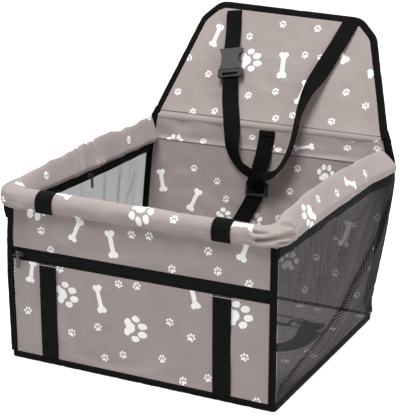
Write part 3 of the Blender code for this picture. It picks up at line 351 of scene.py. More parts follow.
def group_tree(name, takes, gives):
    """A shader group with named inputs (socket kind, default value) and outputs (socket kind)."""
    tree = bpy.data.node_groups.new(name, "ShaderNodeTree")
    for label, (kind, value) in takes.items():
        socket = tree.interface.new_socket(label, in_out="INPUT", socket_type=kind)
        if value is not None:
            socket.default_value = value
    for label, kind in gives.items():
        tree.interface.new_socket(label, in_out="OUTPUT", socket_type=kind)
    return tree, tree.nodes.new("NodeGroupInput").outputs, tree.nodes.new("NodeGroupOutput").inputs


def use_group(tree, group, links=None, **values):
    made = tree.nodes.new("ShaderNodeGroup")
    made.node_tree = group
    for key, value in values.items():
        made.inputs[key.replace("_", " ")].default_value = value
    for key, socket in (links or {}).items():
        tree.links.new(socket, made.inputs[key])
    return made.outputs


# The weave group gives the height of crossed threads, and of ribs where Rib is above 0.
weave, takes, gives = group_tree(
    "weave",
    {
        "Vector": ("NodeSocketVector", None),
        "Pitch": ("NodeSocketFloat", 0.0006),
        "Rib Pitch": ("NodeSocketFloat", 0.0020),
        "Rib": ("NodeSocketFloat", 0.0),
    },
    {"Height": "NodeSocketFloat"},
)
split = node(weave, "ShaderNodeSeparateXYZ")
link(weave, takes["Vector"], split.inputs[0])
turns = [maths(weave, "DIVIDE", split.outputs[i], takes["Pitch"]) for i in (0, 1)]
waves = [maths(weave, "SINE", maths(weave, "MULTIPLY", turn, 2 * math.pi)) for turn in turns]
crossed = maths(weave, "MULTIPLY_ADD", maths(weave, "MULTIPLY", waves[0], waves[1]), 0.5, 0.5)
rib_turn = maths(weave, "MULTIPLY", maths(weave, "DIVIDE", split.outputs[0], takes["Rib Pitch"]), math.pi)
rib = maths(weave, "ABSOLUTE", maths(weave, "SINE", rib_turn))
mixed = maths(weave, "MULTIPLY_ADD", rib, takes["Rib"], crossed)
link(weave, mixed, gives["Height"])

# The mottle group gives a slow, uneven value for dye and handling marks, from 0 to 1.
mottle, takes, gives = group_tree(
    "mottle",
    {
        "Vector": ("NodeSocketVector", None),
        "Size": ("NodeSocketFloat", 0.03),
        "Detail": ("NodeSocketFloat", 4.0),
    },
    {"Value": "NodeSocketFloat"},
)
cloud = node(mottle, "ShaderNodeTexNoise", Roughness=0.55)
link(mottle, takes["Vector"], cloud.inputs["Vector"])
link(mottle, maths(mottle, "DIVIDE", 1.0, takes["Size"]), cloud.inputs["Scale"])
link(mottle, takes["Detail"], cloud.inputs["Detail"])
link(mottle, cloud.outputs["Fac"], gives["Value"])


def flat_place(tree):
    return node(tree, "ShaderNodeUVMap", uv_map="flat").outputs[0]


def own_place(tree):
    return node(tree, "ShaderNodeTexCoord").outputs["Object"]


def relief(tree, height, strength, distance, under=None):
    """Bumps of a height, on top of other bumps where there are any."""
    made = node(tree, "ShaderNodeBump", Strength=strength, Distance=distance)
    link(tree, height, made.inputs["Height"])
    if under:
        link(tree, under, made.inputs["Normal"])
    return made.outputs[0]


def surface(tree, colour, normal, shine, rough=None, **settings):
    """The material's one shader, joined to what it is made of."""
    shader = node(tree, "ShaderNodeBsdfPrincipled", **settings)
    shader.inputs["Specular IOR Level"].default_value = shine
    link(tree, colour, shader.inputs["Base Color"])
    link(tree, normal, shader.inputs["Normal"])
    if rough:
        link(tree, rough, shader.inputs["Roughness"])
    out = node(tree, "ShaderNodeOutputMaterial")
    link(tree, shader.outputs[0], out.inputs["Surface"])
    return shader


def black_cloth(name, dark, light, pitch, ribs, rough, bump):
    """Black tape or webbing: threads and ribs in its height, and in its colour a little dust and painted
    shade in the weave's hollows.
    """
    made = new_material(name)
    tree = made.node_tree
    place = flat_place(tree)
    height = use_group(tree, weave, {"Vector": place}, Pitch=pitch, Rib_Pitch=ribs, Rib=0.8)["Height"]
    dust = use_group(tree, mottle, {"Vector": own_place(tree)}, Size=0.02, Detail=5.0)["Value"]
    # Painted shade: the colour is darker in the hollows between threads and ribs, and it also varies with the
    # dust.
    dust_and_weave_shade = maths(tree, "MULTIPLY", dust, maths(tree, "MULTIPLY_ADD", height, 0.4, 0.6))
    rougher = maths(tree, "MULTIPLY_ADD", dust, 0.15, rough - 0.07)
    surface(tree, colour_between(tree, dust_and_weave_shade, dark, light), relief(tree, height, bump, 0.0003), 0.03, rougher)
    return made


webbing_dark, webbing_light = (0.0012, 0.0012, 0.0013), (0.0065, 0.0065, 0.0068)
webbing_look = black_cloth("black_webbing", webbing_dark, webbing_light, 0.0009, 0.0026, 0.52, 0.6)


def webbing(name, points, outs):
    """A length of the 26 mm webbing."""
    return swept(name, points, outs, strap_section(strap_width, strap_thick), webbing_look)


def dressed(piece, slot, *nodes, body=None):
    """Hides the solids that the piece stands for and hangs it on what it moves with. The slot, its finish, is
    not used.
    """
    if nodes:
        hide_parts(*nodes)
    if body:
        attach(piece, body)
    return piece


adjuster_rise, adjuster_x, adjuster_lift = 0.162, -0.002, 0.0035
adjuster_half, tether_run = 0.011, 0.016
low_run = adjuster_rise - adjuster_half - tether_run
lying = floor_height + clearance + strap_thick / 2 + clearance
eye_x, eye_y, eye_half, eye_wire = 0.146, 0.081, 0.0055, 0.0020
hook_radius, hook_wire = 0.0088, 0.0022
hook_axis = floor_height + clearance + hook_radius + hook_wire
near_bar = eye_y - eye_half
wrap = eye_wire + clearance + strap_thick / 2
wrap_steps, wrap_turn = 13, 17.5
tether_slant, slant_drop = 0.45, 0.007


def leaning_x(rise):
    """The tether hangs straight down to the adjuster and leans to the left below it."""
    return adjuster_x - tether_slant * max(adjuster_rise - slant_drop - rise, 0)


tail_route = [
    before_back(leaning_x(low_run - 0.005), low_run - 0.005, adjuster_lift),
    before_back(leaning_x(low_run - 0.018), low_run - 0.018, adjuster_lift + 0.001),
    before_back(leaning_x(low_run - 0.038), low_run - 0.038, 0.008),
    before_back(-0.0440, 0.0640, 0.010),
    before_back(-0.0540, 0.0300, 0.011),
    (-0.0540, 0.142, floor_height + 0.008),
    (-0.0420, 0.110, lying),
    (0.006, 0.066, lying),
    (0.056, 0.014, lying),
    (0.102, -0.008, lying),
    (0.135, 0.008, lying),
    (eye_x, 0.036, lying + wrap),
    (eye_x, near_bar - 4 * wrap, hook_axis),
]
tail_rise = adjuster_rise - 0.0063
tail_start = before_back(leaning_x(tail_rise), tail_rise, adjuster_lift)
tail_points = np.vstack([tail_start, curve_through(tail_route, 4)])
tail_points[:, 2] = np.maximum(tail_points[:, 2], lying)
tail_outs = []
for point in tail_points:
    hanging = (point[2] - lying - wrap) / 0.030 if point[1] > near_bar else 0
    share = min(max(hanging, 0), 1)
    tail_outs.append((0, -share, 1 - share * 0.98))
for step in range(wrap_steps):
    angle = math.radians(90 - wrap_turn * step)
    out = np.array((0, math.cos(angle), math.sin(angle)))
    tail_points = np.vstack([tail_points, np.array((eye_x, near_bar, hook_axis)) + out * wrap])
    tail_outs.append(out)
tether_long = webbing("tether_long", tail_points, unit(np.array(tail_outs)))
dressed(tether_long, "webbing", "tether_tail", body="base")


def crumples(piece):
    """Gives the piece a mesh of its own."""
    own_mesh(piece)
    return piece


def narrows(piece):
    """Gives the piece a mesh of its own."""
    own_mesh(piece)


crumples(tether_long)


# The piece of webbing at the top of the tether, with its hemmed end sewn to the tunnel across the back.
band_top, band_bottom = 0.2604, 0.2214
near = clearance + strap_thick / 2
top_route = [
    before_back(0.0050, band_top - 0.0075, near),
    before_back(0.0045, (band_top + band_bottom) / 2, near),
    before_back(0.0030, band_bottom - 0.0075, adjuster_lift),
]
high_run = adjuster_rise + adjuster_half + tether_run
top_points = [*curve_through(top_route, 3)]
for rise in (high_run, adjuster_rise + 0.004, adjuster_rise - 0.006):
    top_points.append(before_back(leaning_x(rise), rise, adjuster_lift))
tether_top = webbing("tether_top", top_points, [-back_out] * len(top_points))
dressed(tether_top, "webbing", "tether_upper", body="rim")
hem = np.array([before_back(x, band_top - 0.0115, near + strap_thick * 0.95) for x in (-0.0078, 0.0178)])
tether_hem = swept("tether_hem", hem, [-back_out] * 2, strap_section(0.009, strap_thick * 0.8), webbing_look)
dressed(tether_hem, "webbing", body="rim")


# Stitches: polyester thread, each stitch a small sunk bead of thread in a row along a seam.
def input_key(modifier, label):
    items = modifier.node_group.interface.items_tree
    return next(item.identifier for item in items if item.in_out == "INPUT" and item.name == label)


def with_tree(piece, tree, **values):
    """The piece shaped by a geometry tree, as a plain mesh."""
    modifier = piece.modifiers.new(tree.name, "NODES")
    modifier.node_group = tree
    for label, value in values.items():
        modifier[input_key(modifier, label)] = value
    return made_plain(piece)


def geometry_tree(name, takes):
    tree = bpy.data.node_groups.new(name, "GeometryNodeTree")
    tree.interface.new_socket("Geometry", in_out="INPUT", socket_type="NodeSocketGeometry")
    for label, (kind, value) in takes.items():
        socket = tree.interface.new_socket(label, in_out="INPUT", socket_type=kind)
        if value is not None:
            socket.default_value = value
    tree.interface.new_socket("Geometry", in_out="OUTPUT", socket_type="NodeSocketGeometry")
    return tree, tree.nodes.new("NodeGroupInput").outputs, tree.nodes.new("NodeGroupOutput").inputs


thread_row, takes, gives = geometry_tree(
    "row_of_beads",
    {
        "Spacing": ("NodeSocketFloat", 0.0042),
        "Length": ("NodeSocketFloat", 0.0030),
        "Width": ("NodeSocketFloat", 0.0006),
        "Height": ("NodeSocketFloat", 0.0006),
        "Facing": ("NodeSocketVector", (0, -1, 0)),
        "Material": ("NodeSocketMaterial", None),
    },
)
line = node(thread_row, "GeometryNodeMeshToCurve")
spaced = node(thread_row, "GeometryNodeResampleCurve", mode="LENGTH")
bead = node(thread_row, "GeometryNodeMeshUVSphere", Segments=8, Rings=5, Radius=0.5)
bead_size = node(thread_row, "ShaderNodeCombineXYZ")
set_row = node(thread_row, "GeometryNodeInstanceOnPoints")
tangent = node(thread_row, "GeometryNodeInputTangent")
along = node(thread_row, "FunctionNodeAlignEulerToVector", axis="X")
facing = node(thread_row, "FunctionNodeAlignEulerToVector", axis="Z", pivot_axis="X")
smooth_beads = node(thread_row, "GeometryNodeSetShadeSmooth")
real = node(thread_row, "GeometryNodeRealizeInstances")
painted = node(thread_row, "GeometryNodeSetMaterial")
link(thread_row, takes["Geometry"], line.inputs["Mesh"])
link(thread_row, line.outputs[0], spaced.inputs["Curve"])
link(thread_row, takes["Spacing"], spaced.inputs["Length"])
link(thread_row, spaced.outputs[0], set_row.inputs["Points"])
for label, slot_number in (("Length", 0), ("Width", 1), ("Height", 2)):
    link(thread_row, takes[label], bead_size.inputs[slot_number])
link(thread_row, bead.outputs["Mesh"], smooth_beads.inputs["Geometry"])
link(thread_row, smooth_beads.outputs[0], set_row.inputs["Instance"])
link(thread_row, bead_size.outputs[0], set_row.inputs["Scale"])
link(thread_row, tangent.outputs[0], along.inputs["Vector"])
link(thread_row, along.outputs[0], facing.inputs["Rotation"])
link(thread_row, takes["Facing"], facing.inputs["Vector"])
link(thread_row, facing.outputs[0], set_row.inputs["Rotation"])
link(thread_row, set_row.outputs[0], real.inputs[0])
link(thread_row, real.outputs[0], painted.inputs["Geometry"])
link(thread_row, takes["Material"], painted.inputs["Material"])
link(thread_row, painted.outputs[0], gives["Geometry"])


def thread_material(name, colour):
    """Twisted thread: fine slanting strands across each stitch, with painted shade in the grooves between
    them.
    """
    made = new_material(name)
    tree = made.node_tree
    strands = node(tree, "ShaderNodeTexWave", Scale=700.0, Distortion=1.0, bands_direction="DIAGONAL")
    link(tree, own_place(tree), strands.inputs["Vector"])
    strand = strands.outputs["Fac"]
    # Painted shade: the colour is darker in the grooves between the strands.
    shade = colour_between(tree, strand, [value * 0.7 for value in colour], colour)
    surface(tree, shade, relief(tree, strand, 0.4, 0.0001), 0.1, Roughness=0.6)
    return made


black_thread = thread_material("black_thread", (0.025, 0.025, 0.026))
white_thread = thread_material("white_thread", (0.72, 0.70, 0.69))


def stitched(name, lines, look, body, slot, facing=(0, -1, 0), spacing=0.0042, length=0.0030, thick=0.0006):
    """Rows of stitches along lines of points."""
    corners, edges = [], []
    for points in lines:
        first = len(corners)
        corners += [tuple(point) for point in points]
        edges += [(i, i + 1) for i in range(first, len(corners) - 1)]
    mesh = bpy.data.meshes.new(name)
    mesh.from_pydata(corners, edges, [])
    piece = placed(name, mesh)
    sizes = {"Spacing": spacing, "Length": length, "Width": thick, "Height": thick}
    with_tree(piece, thread_row, Facing=facing, Material=look, **sizes)
    return dressed(piece, slot, body=body)


hem_ends, hem_lift, from_selvedge = (-0.0075, 0.0175), near + strap_thick * 1.5, 0.002
hem_stitches = []
for rise in (band_top - 0.0090, band_top - 0.0138):
    stitch_ends = (hem_ends[0] + from_selvedge, hem_ends[1] - from_selvedge)
    hem_stitches.append([before_back(x, rise, hem_lift) for x in stitch_ends])
stitched("tether_stitches", hem_stitches, black_thread, "rim", "webbing", -back_out)


# The two headrest straps: the same webbing, sewn under the headrest's edge tape. The left one has the
# buckle, and both come down over the hinge to the adjuster.
flap_length, flap_edge_width, strap_top_drop = 0.183, 0.012, 0.0045
strap_top = flap_length - flap_edge_width - strap_top_drop
buckle_x, buckle_rise, buckle_swing = -0.080, 0.114, 0.17
buckle_thick, buckle_length, plug_length = 0.0100, 0.034, 0.012
buckle_tilt = np.array((buckle_swing, -1)) / math.hypot(buckle_swing, 1)


def on_buckle(across, along, depth):
    """The buckle's own frame: across it, down along the strap, and out from the cloth."""
    x = buckle_x + buckle_tilt[0] * along - buckle_tilt[1] * across
    rise = buckle_rise + buckle_tilt[1] * along + buckle_tilt[0] * across
    return before_flap(x, rise, clearance + depth)


spare = strap_top - buckle_rise
tucked = before_flap(buckle_x - buckle_swing * (spare + 0.014), strap_top + 0.014, -0.0014)
upper_route = [
    tucked,
    before_flap(buckle_x - buckle_swing * (spare + 0.007), strap_top + 0.007, near * 0.6),
    before_flap(buckle_x - buckle_swing * spare, strap_top, near),
    before_flap(buckle_x - buckle_swing * spare * 0.5, buckle_rise + spare * 0.5, near * 1.5),
    before_flap(buckle_x - buckle_swing * clearance, buckle_rise + clearance, clearance + buckle_thick / 2),
]
upper_points = curve_through(upper_route, 5)
headrest_strap = webbing("headrest_strap_top", upper_points, [-flap_out] * len(upper_points))
dressed(headrest_strap, "webbing", "headrest_strap_upper", body="headrest")

over = adjuster_lift + strap_thick + 2 * clearance
above = over + strap_thick + 2 * clearance
meet = adjuster_rise + 0.0045


def rolled(place, degrees):
    """A place on a strap's way, with how far the strap is rolled about its own length there."""
    return np.append(place, degrees)


left_route = [
    rolled(on_buckle(0, buckle_length + plug_length + 2 * clearance, buckle_thick / 2), 0),
    rolled(before_flap(-0.0660, 0.0340, 0.0032), -12),
    rolled(before_flap(-0.0570, 0.0060, 0.0055), -14),
    rolled(before_back(-0.0520, 0.2460, 0.0065), -10),
    rolled(before_back(-0.0450, 0.2180, 0.0120), 22),
    rolled(before_back(-0.0290, 0.1950, 0.0135), 44),
    rolled(before_back(adjuster_x - 0.006, meet + 0.016, above + 0.0060), 38),
    rolled(before_back(adjuster_x - 0.004, meet, above + 0.0012), 8),
]
right_route = [
    rolled(before_flap(0.1070, strap_top + 0.008, -0.0014), 0),
    rolled(before_flap(0.1040, strap_top, near), 0),
    rolled(before_flap(0.0905, 0.1300, 0.0025), 0),
    rolled(before_flap(0.0740, 0.0870, 0.0055), -6),
    rolled(before_flap(0.0625, 0.0560, 0.0100), 24),
    rolled(before_flap(0.0560, 0.0200, 0.0120), 46),
    rolled(before_back(0.0530, 0.2460, 0.0120), 52),
    rolled(before_back(0.0450, 0.2160, 0.0130), 56),
    rolled(before_back(0.0290, 0.1900, 0.0140), 62),
    rolled(before_back(adjuster_x + 0.009, meet + 0.014, over + 0.0070), 48),
    rolled(before_back(adjuster_x + 0.004, meet, over + 0.0012), 10),
]
for strap_name, strap_route, strap_node in (
    ("headrest_strap_left", left_route, "headrest_strap_lower"),
    ("headrest_strap_right", right_route, "headrest_strap_right"),
):
    strap_way = curve_through(strap_route, 5)
    strap_points, roll = strap_way[:, :3], np.radians(strap_way[:, 3:])
    share = np.clip((hinge[2] - strap_points[:, 2:]) / 0.012, 0, 1)
    strap_outs = unit(-flap_out * (1 - share) - back_out * share)
    sideways = unit(np.cross(np.gradient(strap_points, axis=0), strap_outs))
    strap_outs = strap_outs * np.cos(roll) + sideways * np.sin(roll)
    strap = webbing(strap_name + "_webbing", strap_points, strap_outs)
    dressed(strap, "webbing", strap_node)
    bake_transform(strap)


# The front's two straps are sewn flat down the pocket, from the zip to the floor seam, and a loop of the
# same webbing goes round the rim above each.
strap_places = {"left": -0.135, "right": 0.125}
front_y = -0.180
pocket_top, zip_height = 0.1448, 0.154
strap_bow, seam_half = 0.0006, 0.0140
frontwards = (0, -1, 0)
for side, x in strap_places.items():
    strap_points = []
    for share in np.linspace(0, 1, 9):
        y = front_y - 0.0010 - strap_bow * math.sin(math.pi * share)
        strap_points.append((x, y, wall_foot + (pocket_top - wall_foot) * share))
    strap = webbing("front_strap_" + side + "_webbing", strap_points, [frontwards] * len(strap_points))
    dressed(strap, "webbing", "front_strap_" + side, body="base")
    crumples(strap)
    row = [[(x + across, front_y - 0.0021, pocket_top - 0.0012) for across in (-seam_half, seam_half)]]
    seam = stitched(
        "strap_stitches_" + side, row, white_thread, "base", "webbing", spacing=0.0031, thick=0.0008
    )
    crumples(seam)

sleeve_width, sleeve_height = 0.026, 0.025
sleeve_x, sleeve_y, sleeve_z = 0.193, -0.173, 0.2305
seam_out = 0.0062
loop_clearance, loop_start, loop_end = 0.0007, -70, 245


def sleeve_point(angle, half_width, half_height):
    """A point of the sleeve's section, out and up from its middle: an oval drawn out to its seam below."""
    up = np.sin(angle)
    return half_width * np.cos(angle) + seam_out * np.minimum(up, 0) ** 2, half_height * up


for side, x in strap_places.items():
    lift = loop_clearance + strap_thick / 2
    turn = np.radians(np.linspace(loop_start, loop_end, 40))
    out, up = sleeve_point(turn, sleeve_width / 2 + lift, sleeve_height / 2 + lift)
    loop_points = np.stack([0 * out + x, sleeve_y - out, sleeve_z + up], -1)
    loop_outs = np.stack([0 * out, -np.cos(turn), np.sin(turn)], -1)
    loop = webbing("rim_loop_" + side + "_webbing", loop_points, loop_outs)
    dressed(loop, "webbing", "rim_loop_" + side, body="rim")


# The base: a stiff board between two sheets of the printed canvas, with the walls' foot and the two
# sheets caught in one black edge tape that is sewn all round. The canvas is printed with a toss of paws
# and bones: each face of the cloth holds its place in the motif nearest to it.
def slab(name, front, back, flat, look, flat_behind=None):
    """Cloth of a real thickness between two grids of points."""
    rows, columns = front.shape[:2]
    count = rows * columns
    i, j = (axis.ravel() for axis in np.meshgrid(np.arange(rows - 1), np.arange(columns - 1), indexing="ij"))
    first, below = i * columns + j, (i + 1) * columns + j
    quads = np.stack([first, below, below + 1, first + 1], -1)
    right_side = np.arange(1, rows) * columns + columns - 1
    far_side = (rows - 1) * columns + np.arange(columns - 2, -1, -1)
    edge = np.concatenate([np.arange(columns), right_side, far_side, np.arange(rows - 2, 0, -1) * columns])
    after = np.roll(edge, -1)
    walls = np.stack([edge, after, after + count, edge + count], -1)
    faces = np.vstack([quads, quads[:, ::-1] + count, walls])
    mesh = bpy.data.meshes.new(name)
    corners = np.vstack([front.reshape(-1, 3), back.reshape(-1, 3)])
    mesh.from_pydata(corners.tolist(), [], faces.tolist())
    places = flat.reshape(-1, 2)[faces % count]
    if flat_behind is not None:
        places[len(quads) : 2 * len(quads)] = flat_behind.reshape(-1, 2)[quads[:, ::-1]]
    mesh.uv_layers.new(name="flat").data.foreach_set("uv", places.astype(np.float32).ravel())
    turn_outwards(mesh)
    mesh.set_sharp_from_angle(angle=math.radians(60))
    return placed(name, mesh, look)


def ripple(points, size, seed):
    """A smooth random value at each point, mostly from -1 to 1, with hills and hollows about size apart."""
    dice = np.random.default_rng(seed)
    ways = unit(dice.normal(size=(14, 3))) * dice.uniform(0.5, 1.5, (14, 1)) * 2 * math.pi / size
    return np.sin(points @ ways.T + dice.uniform(0, 2 * math.pi, 14)).sum(-1) / 4


def uneven(piece, depth, size, seed, inwards=False):
    """Moves the piece's surface in and out a little, as sewn cloth and tape are never quite flat."""
    mesh = piece.data
    points = np.zeros(len(mesh.vertices) * 3)
    ways = np.zeros(len(mesh.vertices) * 3)
    mesh.vertices.foreach_get("co", points)
    mesh.vertices.foreach_get("normal", ways)
    points, ways = points.reshape(-1, 3), ways.reshape(-1, 3)
    shift = ripple(points, size, seed)
    if inwards:
        shift = np.minimum(shift, 0)
    mesh.vertices.foreach_set("co", (points + ways * shift[:, None] * depth).ravel())
    mesh.update()
    return piece


def grid(low, high, step):
    """Evenly spaced values over a rectangle, as two grids."""
    counts = [max(2, round((b - a) / step) + 1) for a, b in zip(low, high)]
    return np.meshgrid(np.linspace(low[0], high[0], counts[0]), np.linspace(low[1], high[1], counts[1]))


paw_large, paw_medium, paw_small, scattered_large = 0.039, 0.029, 0.0125, 0.040
large_room, small_room = 0.034, 0.016
large_tries, all_tries = 300, 1200


def scatter(low, high, seed, kept=()):
    """A toss of motifs over cloth that the photo doesn't show, clear of those kept: (paws, bones)."""
    dice = np.random.default_rng(seed)
    laid = [(x, y, large_room if size > 0.02 else small_room) for x, y, angle, size in kept]
    paws, bones = [], []
    for trial in range(all_tries):
        spot, angle = dice.uniform(low, high), dice.uniform(-90, 90)
        is_large = trial < large_tries
        size, apart = (scattered_large, large_room) if is_large else (paw_small, small_room)
        if all(math.dist(spot, was) > apart + reach for *was, reach in laid):
            laid.append((*spot, apart))
            (bones if is_large and len(laid) % 2 else paws).append((*spot, angle, size))
    return paws, bones


no_motif, bone_offset, motif_reach = 5.0, 10.0, 1.2


def printed(piece, paws, bones):
    """Writes for each face where its corners lie in the nearest motif, of (across, up, angle, size)."""
    mesh = piece.data
    flat = np.zeros(len(mesh.loops) * 2)
    mesh.uv_layers["flat"].data.foreach_get("uv", flat)
    flat = flat.reshape(-1, 2)
    totals = np.zeros(len(mesh.polygons), int)
    mesh.polygons.foreach_get("loop_total", totals)
    starts = np.concatenate([[0], np.cumsum(totals)[:-1]])
    middles = np.add.reduceat(flat, starts) / totals[:, None]
    motifs = np.array([(*paw, 0) for paw in paws] + [(*bone, bone_offset) for bone in bones], float)
    away = np.linalg.norm(middles[:, None] - motifs[None, :, :2], axis=-1) / motifs[:, 3]
    choice = np.repeat(away.argmin(1), totals)
    bare = np.repeat(away.min(1) > motif_reach, totals)
    motif = motifs[choice]
    turn = np.radians(motif[:, 2])
    across = np.stack([np.cos(turn), np.sin(turn)], -1)
    off = (flat - motif[:, :2]) / motif[:, 3:4]
    own_x = (off * across).sum(-1) + motif[:, 4]
    own_y = off[:, 1] * across[:, 0] - off[:, 0] * across[:, 1]
    place = np.stack([own_x, own_y], -1)
    place[bare] = no_motif
    mesh.uv_layers.new(name="print").data.foreach_set("uv", place.astype(np.float32).ravel())
    return piece


def offset_length(tree, place, centre, radii):
    """How far the place is from the centre, in units of an oval's two radii."""
    moved = node(tree, "ShaderNodeVectorMath", operation="SUBTRACT")
    link(tree, place, moved.inputs[0])
    moved.inputs[1].default_value = (*centre, 0)
    scaled = node(tree, "ShaderNodeVectorMath", operation="DIVIDE")
    link(tree, moved.outputs[0], scaled.inputs[0])
    scaled.inputs[1].default_value = (*radii, 1)
    length = node(tree, "ShaderNodeVectorMath", operation="LENGTH")
    link(tree, scaled.outputs[0], length.inputs[0])
    return length.outputs["Value"]


# The paw group draws four toes and a pad with its toes up, the bone group a bone that stands upright,
# each about 1 unit high round the middle.
motif_takes, motif_gives = {"Vector": ("NodeSocketVector", None)}, {"Mask": "NodeSocketFloat"}
far_off = 9.0
paw_shape, takes, gives = group_tree("paw_shape", motif_takes, motif_gives)
toes = (
    ((-0.35, -0.03), (0.115, 0.155)),
    ((-0.145, 0.24), (0.12, 0.17)),
    ((0.16, 0.27), (0.12, 0.17)),
    ((0.365, 0.02), (0.115, 0.155)),
)
pads = (((0.01, -0.19), (0.19, 0.17)), ((-0.16, -0.33), (0.15, 0.125)), ((0.19, -0.31), (0.145, 0.125)))
nearest_toe = nearest_pad = far_off
for centre, radii in toes:
    toe = offset_length(paw_shape, takes["Vector"], centre, radii)
    nearest_toe = maths(paw_shape, "MINIMUM", nearest_toe, toe)
for centre, radii in pads:
    pad = offset_length(paw_shape, takes["Vector"], centre, radii)
    nearest_pad = maths(paw_shape, "SMOOTH_MIN", pad, nearest_pad, 0.25)
nearest = maths(paw_shape, "MINIMUM", nearest_toe, nearest_pad)
link(paw_shape, maths(paw_shape, "MULTIPLY_ADD", nearest, -14.0, 14.5, clamp=True), gives["Mask"])

bone_shape, takes, gives = group_tree("bone_shape", motif_takes, motif_gives)
folded = node(bone_shape, "ShaderNodeVectorMath", operation="ABSOLUTE")
link(bone_shape, takes["Vector"], folded.inputs[0])
from_knob = offset_length(bone_shape, folded.outputs[0], (0.085, 0.395), (1, 1))
knob = maths(bone_shape, "SUBTRACT", from_knob, 0.105)
sides = node(bone_shape, "ShaderNodeSeparateXYZ")
link(bone_shape, folded.outputs[0], sides.inputs[0])
beside = maths(bone_shape, "SUBTRACT", sides.outputs[0], 0.088)
beyond = maths(bone_shape, "SUBTRACT", sides.outputs[1], 0.40)
shaft = maths(bone_shape, "MAXIMUM", beside, beyond)
outside = maths(bone_shape, "SMOOTH_MIN", knob, shaft, 0.07)
link(bone_shape, maths(bone_shape, "MULTIPLY_ADD", outside, -60.0, 0.5, clamp=True), gives["Mask"])


def printed_cloth(name, ground, ink, wrinkle):
    """Canvas with a white print: crossed threads with painted shade between them, slow changes of dye, and
    small wrinkles.
    """
    made = new_material(name)
    tree = made.node_tree
    place = flat_place(tree)
    where = own_place(tree)
    height = use_group(tree, weave, {"Vector": place}, Pitch=0.0011)["Height"]
    shade_change = use_group(tree, mottle, {"Vector": where}, Size=0.05, Detail=6.0)["Value"]
    slubs = node(tree, "ShaderNodeTexNoise", Scale=900.0, Detail=2.0)
    link(tree, place, slubs.inputs["Vector"])
    in_print = node(tree, "ShaderNodeUVMap", uv_map="print")
    wobble = node(tree, "ShaderNodeTexNoise", Scale=260.0, Detail=2.0)
    link(tree, place, wobble.inputs["Vector"])
    centred = node(tree, "ShaderNodeVectorMath", operation="MULTIPLY_ADD")
    link(tree, wobble.outputs["Color"], centred.inputs[0])
    centred.inputs[1].default_value = (0.06, 0.06, 0)
    centred.inputs[2].default_value = (-0.03, -0.03, 0)
    shaken = node(tree, "ShaderNodeVectorMath", operation="ADD")
    link(tree, in_print.outputs[0], shaken.inputs[0])
    link(tree, centred.outputs[0], shaken.inputs[1])
    parts = node(tree, "ShaderNodeSeparateXYZ")
    link(tree, shaken.outputs[0], parts.inputs[0])
    is_bone = maths(tree, "GREATER_THAN", parts.outputs[0], (no_motif + bone_offset) / 2)
    own = node(tree, "ShaderNodeCombineXYZ")
    link(tree, maths(tree, "MULTIPLY_ADD", is_bone, -bone_offset, parts.outputs[0]), own.inputs[0])
    link(tree, parts.outputs[1], own.inputs[1])
    paw = use_group(tree, paw_shape, {"Vector": own.outputs[0]})["Mask"]
    bone = use_group(tree, bone_shape, {"Vector": own.outputs[0]})["Mask"]
    pick = node(tree, "ShaderNodeMix", data_type="FLOAT")
    for slot_number, socket in ((0, is_bone), (2, paw), (3, bone)):
        link(tree, socket, pick.inputs[slot_number])
    worn = maths(tree, "MULTIPLY_ADD", slubs.outputs["Fac"], -0.16, 1.06, clamp=True)
    inked = maths(tree, "MULTIPLY", pick.outputs[0], worn)
    # Painted shade: the weave's height makes the cloth darker in the hollows between threads. The slow mottle
    # is the dye's own unevenness.
    threads = maths(tree, "MULTIPLY_ADD", height, 0.5, maths(tree, "MULTIPLY", shade_change, 0.55))
    darker, lighter = [value * 0.80 for value in ground], [value * 1.12 for value in ground]
    cloth_shade = colour_between(tree, threads, darker, lighter)
    ink_shade = colour_between(tree, inked, cloth_shade, ink)
    folds = node(tree, "ShaderNodeTexNoise", Scale=38.0, Detail=3.0, Roughness=0.5, Distortion=0.8)
    link(tree, where, folds.inputs["Vector"])
    fine = relief(tree, height, 0.5, 0.0002, under=relief(tree, folds.outputs["Fac"], wrinkle, 0.0022))
    rough = maths(tree, "MULTIPLY_ADD", slubs.outputs["Fac"], 0.2, 0.75)
    surface(tree, ink_shade, fine, 0.2, rough, Sheen_Weight=0.10, Sheen_Roughness=0.5)
    return made


ground, ink = (0.335, 0.287, 0.275), (0.90, 0.885, 0.88)
canvas = printed_cloth("taupe_canvas", ground, ink, 0.35)
half_wide, half_deep, cloth_thick = 0.200, 0.180, 0.0012
sheet_half_wide, sheet_half_deep = 0.1957, 0.1757


def level_sheet(name, top, paws, bones):
    x, y = grid((-sheet_half_wide, -sheet_half_deep), (sheet_half_wide, sheet_half_deep), 0.005)
    upper = np.stack([x, y, 0 * x + top], -1)
    lower = np.stack([x, y, 0 * x + top - cloth_thick], -1)
    return printed(slab(name, upper, lower, np.stack([x, y], -1), canvas), paws, bones)


small_on_floor = (
    (0.107, 0.107), (0.090, 0.165), (0.118, 0.164), (0.168, 0.102), (0.185, 0.168), (0.181, -0.003),
    (0.152, -0.037), (0.167, 0.009),
)
floor_paws = [(*spot, 25.0 * i, paw_small) for i, spot in enumerate(small_on_floor)]
more_paws, more_bones = scatter((-0.19, -0.17), (0.07, 0.17), 3)
floor_cloth = level_sheet("floor_cloth", floor_height, [*floor_paws, *more_paws], more_bones)
dressed(floor_cloth, "canvas", "base_cover_inner", body="base")
under_cloth = level_sheet("under_cloth", cloth_thick, *scatter((-0.19, -0.17), (0.19, 0.17), 4))
dressed(under_cloth, "canvas", "base_cover_under", body="base")

tape_dark, tape_light = (0.0014, 0.0014, 0.0015), (0.0075, 0.0075, 0.0078)
tape_look = black_cloth("black_edge_tape", tape_dark, tape_light, 0.0007, 0.0016, 0.62, 0.5)
tape_fold, tape_flat, tape_crown = 0.45, 0.86, 0.14


